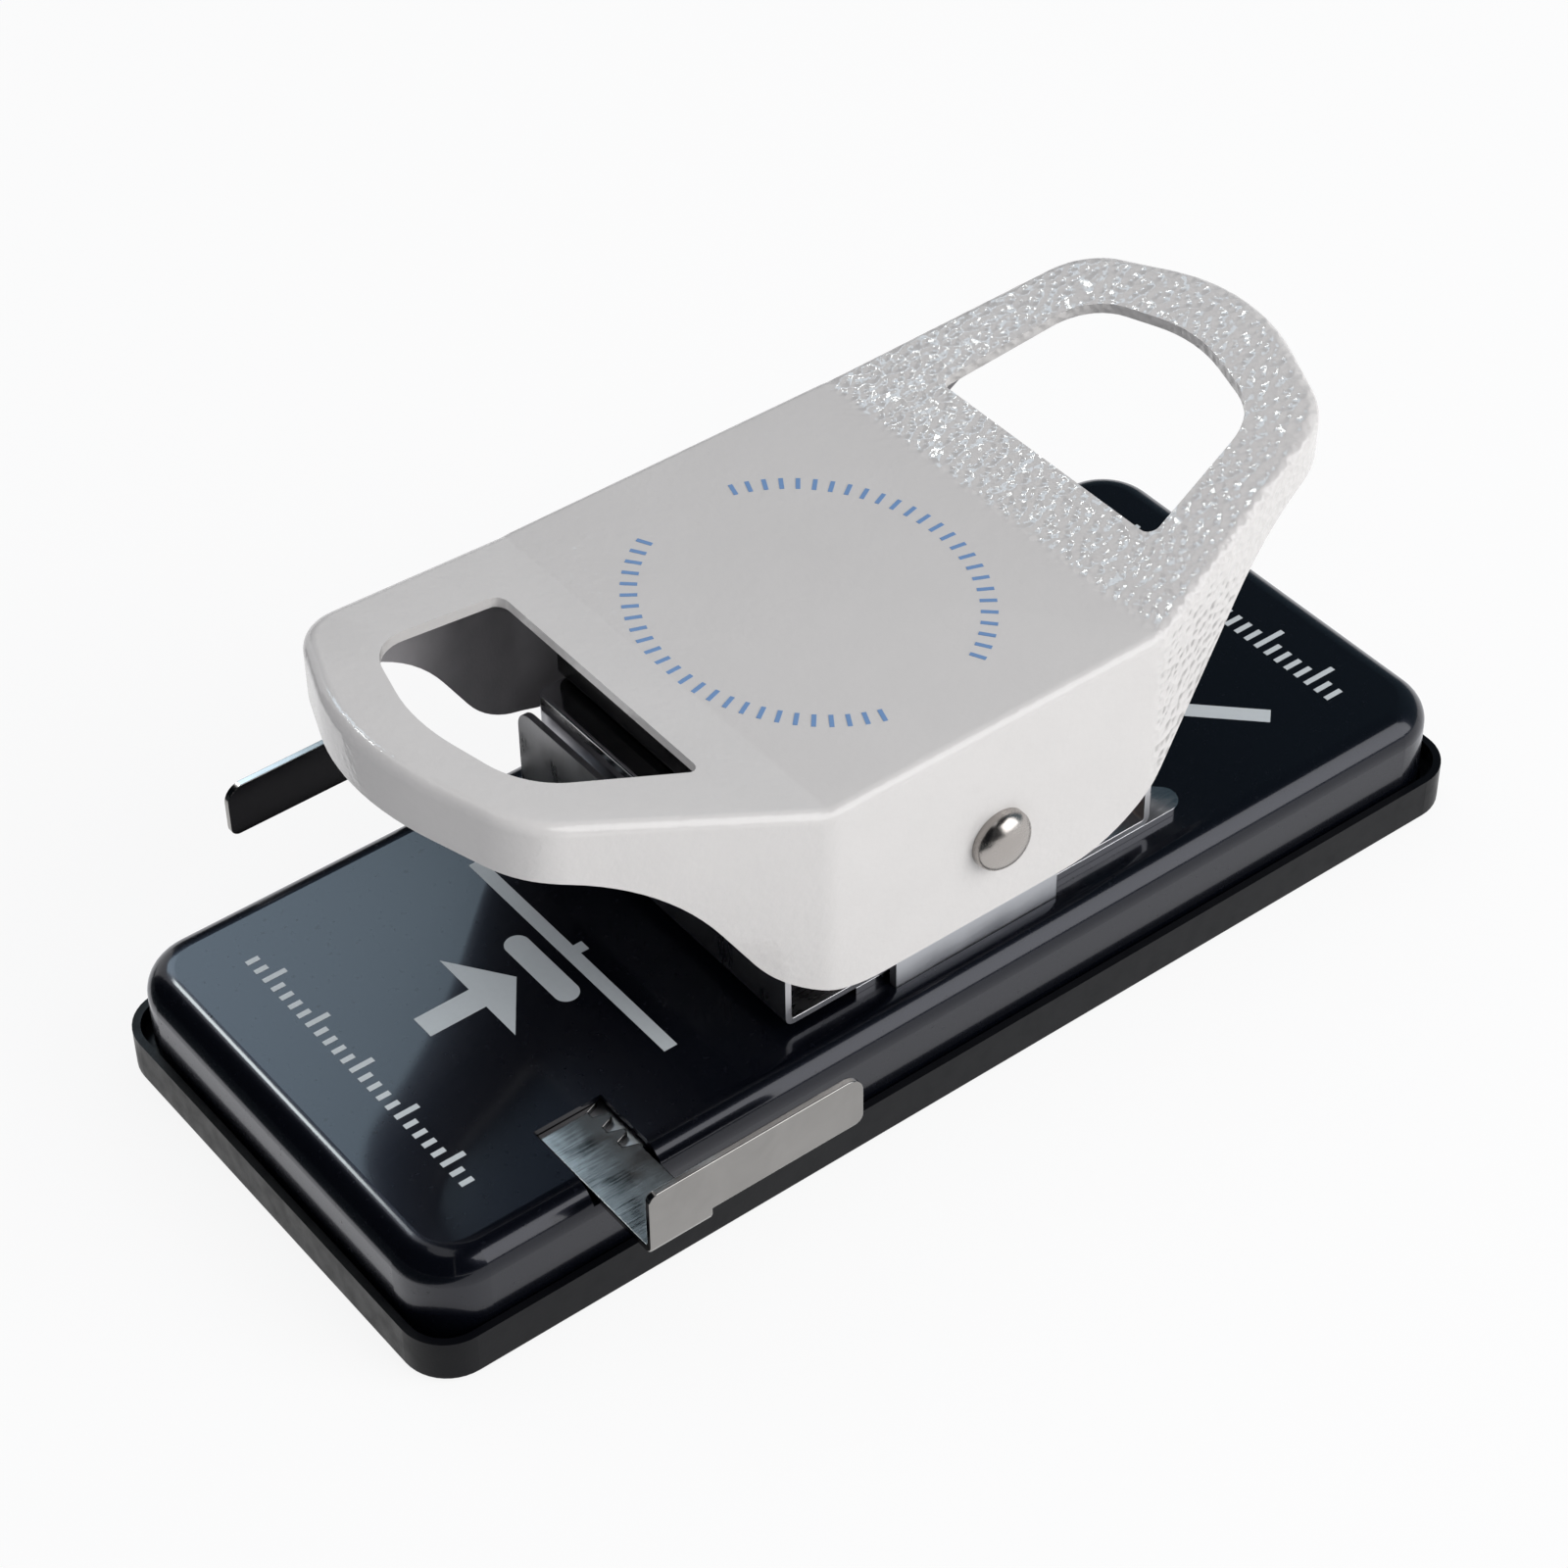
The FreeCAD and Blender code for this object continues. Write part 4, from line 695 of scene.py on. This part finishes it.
def card_finish(name, along, low, high, near_code, far_code, level):
    """Even glow that runs from one colour to another between two distances along a direction."""
    material, tree = blank_material(name)
    place = add(tree, "ShaderNodeTexCoord").outputs["Object"]
    reach = add(tree, "ShaderNodeVectorMath", {1: along}, {0: place}, operation="DOT_PRODUCT")
    share = add(tree, "ShaderNodeMapRange", {"From Min": low, "From Max": high},
                {"Value": reach.outputs["Value"]})
    tone = add(tree, "ShaderNodeMix", {"A": linear(near_code), "B": linear(far_code)},
               {"Factor": share.outputs["Result"]}, data_type="RGBA")
    glow = add(tree, "ShaderNodeEmission", {"Strength": level}, {"Color": tone.outputs["Result"]})
    add(tree, "ShaderNodeOutputMaterial", links={"Surface": glow.outputs[0]})
    return material


def hang_card(form, name, material):
    """Card that only reflections see, as a studio uses to shape a gloss."""
    card = show_stage(form, name, material)
    card.visible_camera = False
    card.visible_diffuse = False
    card.visible_shadow = False
    card.visible_transmission = False


def make_curved_card(name, start, end, low, high, material):
    """Card bent round the object between two azimuths and two elevations."""
    form = bmesh.new()
    bottom = math.radians(low)
    corner = form.verts.new((0, CURVED_AWAY * math.cos(bottom), CURVED_AWAY * math.sin(bottom)))
    bmesh.ops.spin(form, geom=[corner], cent=(0, 0, 0), axis=(1, 0, 0),
                   angle=math.radians(high - low), steps=8)
    bmesh.ops.rotate(form, verts=form.verts, matrix=Matrix.Rotation(-math.radians(start), 3, "Z"))
    bmesh.ops.spin(form, geom=form.verts[:] + form.edges[:], cent=(0, 0, 0), axis=(0, 0, 1),
                   angle=-math.radians(end - start), steps=24)
    hang_card(form, name, material)


def make_soft_box():
    """Soft box over the back, which the cover's left end mirrors, dimmer at its left edge."""
    low = toward(*SOFT_BOX_LOW) * CARD_AWAY
    high = toward(*SOFT_BOX_HIGH) * CARD_AWAY
    rise = (high - low).normalized()
    across = rise.cross(low).normalized()
    form = bmesh.new()
    corners = [low - rise * 0.05, high + rise * 0.1]
    corners += [corner + across * SOFT_BOX_WIDTH for corner in reversed(corners)]
    bmesh.ops.contextual_create(form, geom=[form.verts.new(corner) for corner in corners])
    edge = across.dot(low)
    cloth = card_finish("soft_box_cloth", across, edge, edge + SOFT_BOX_FADE, "a5b9c6", "b9cddb", 6.8)
    hang_card(form, "soft_box", cloth)


def make_glint_lamp():
    """Small bright lamp whose reflections are the glints in the textured enamel."""
    bulb = card_finish("bare_bulb", ALONG_BASE, -1.0, 1.0, "eef6f4", "eef6f4", 26.0)
    way = toward(*GLINT_LAMP)
    turn = way.to_track_quat("Z", "Y").to_matrix().to_4x4()
    form = bmesh.new()
    bmesh.ops.create_grid(form, x_segments=1, y_segments=1, size=GLINT_HALF_WIDTH,
                          matrix=Matrix.Translation(way * GLINT_AWAY) @ turn)
    hang_card(form, "glint_lamp", bulb)


def make_dark_cards():
    """Dark cards round the rest of the object, and a dark sheet on the floor at the left."""
    right = card_finish("dark_card", ALONG_BASE, 0.6, 1.3, "0c1016", "596c76", 1.0)
    make_curved_card("right_card", 8.0, 209.0, 3.0, 88.0, right)
    left = card_finish("black_card", ALONG_BASE, -1.0, 1.0, "15181c", "15181c", 1.0)
    make_curved_card("left_card", -150.0, -18.0, 0.0, 70.0, left)
    grey = card_finish("dark_sheet", ALONG_BASE, -1.0, 1.0, "343b3e", "343b3e", 1.0)
    sheet = bmesh.new()
    bar(sheet, FLOOR_CARD_MIDDLE, FLOOR_CARD_SIZE)
    hang_card(sheet, "floor_card", grey)


def make_stage():
    make_camera()
    make_world()
    make_floor()
    make_soft_box()
    make_glint_lamp()
    make_dark_cards()
    make_lamp("key_lamp", *KEY_LAMP)
    back = make_lamp("back_lamp", *BACK_LAMP)
    back.visible_glossy = False
    bpy.context.scene.view_settings.view_transform = "Standard"


# Operators

class CardPunchHandle(bpy.types.Operator):
    """Paints the handle, its pressing frame and its rivet"""

    bl_idname = "card_punch.handle"
    bl_label = "Handle"

    def execute(self, context):
        make_handle()
        return {"FINISHED"}


class CardPunchCover(bpy.types.Operator):
    """Finishes the cover, the tray and the feet"""

    bl_idname = "card_punch.cover"
    bl_label = "Cover and tray"

    def execute(self, context):
        make_cover()
        return {"FINISHED"}


class CardPunchGuides(bpy.types.Operator):
    """Plates the card guides and their pinion"""

    bl_idname = "card_punch.guides"
    bl_label = "Card guides"

    def execute(self, context):
        make_guides()
        return {"FINISHED"}


class CardPunchPlates(bpy.types.Operator):
    """Plates the stack on the cover, the carriers and the tools"""

    bl_idname = "card_punch.plates"
    bl_label = "Plates and tools"

    def execute(self, context):
        make_plates()
        return {"FINISHED"}


class CardPunchInside(bpy.types.Operator):
    """Finishes the bracket, bushes, screws and springs"""

    bl_idname = "card_punch.inside"
    bl_label = "Bracket and small parts"

    def execute(self, context):
        make_inside()
        return {"FINISHED"}


class CardPunchMarks(bpy.types.Operator):
    """Prints the white marks on the cover"""

    bl_idname = "card_punch.marks"
    bl_label = "Cover marks"

    def execute(self, context):
        make_cover_marks()
        return {"FINISHED"}


class CardPunchRing(bpy.types.Operator):
    """Prints the blue ring on the handle"""

    bl_idname = "card_punch.ring"
    bl_label = "Handle ring"

    def execute(self, context):
        make_ring()
        return {"FINISHED"}


class CardPunchStage(bpy.types.Operator):
    """Sets the floor, the lamps, the world and the camera"""

    bl_idname = "card_punch.stage"
    bl_label = "Stage"

    def execute(self, context):
        make_stage()
        return {"FINISHED"}


OPERATORS = (CardPunchHandle, CardPunchCover, CardPunchGuides, CardPunchPlates, CardPunchInside,
             CardPunchMarks, CardPunchRing, CardPunchStage)


class CardPunchPanel(bpy.types.Panel):
    """Sizes, colours and the steps that make the punch"""

    bl_idname = "VIEW3D_PT_card_punch"
    bl_label = "Card punch"
    bl_space_type = "VIEW_3D"
    bl_region_type = "UI"
    bl_category = "Card punch"

    def draw(self, context):
        for group in (sizes(), colours()):
            box = self.layout.box()
            for name in group.bl_rna.properties.keys():
                if name not in ("rna_type", "name"):
                    box.prop(group, name)
        for operator in OPERATORS:
            self.layout.operator(operator.bl_idname)


CLASSES = (CardPunchSizes, CardPunchColours) + OPERATORS + (CardPunchPanel,)


def register():
    for item in CLASSES:
        bpy.utils.register_class(item)
    bpy.types.Scene.card_punch_sizes = PointerProperty(type=CardPunchSizes)
    bpy.types.Scene.card_punch_colours = PointerProperty(type=CardPunchColours)


def unregister():
    del bpy.types.Scene.card_punch_colours
    del bpy.types.Scene.card_punch_sizes
    for item in reversed(CLASSES):
        bpy.utils.unregister_class(item)


def main():
    register()
    bpy.ops.card_punch.handle()
    bpy.ops.card_punch.cover()
    bpy.ops.card_punch.guides()
    bpy.ops.card_punch.plates()
    bpy.ops.card_punch.inside()
    bpy.ops.card_punch.marks()
    bpy.ops.card_punch.ring()
    bpy.ops.card_punch.stage()


if __name__ == "__main__":
    main()
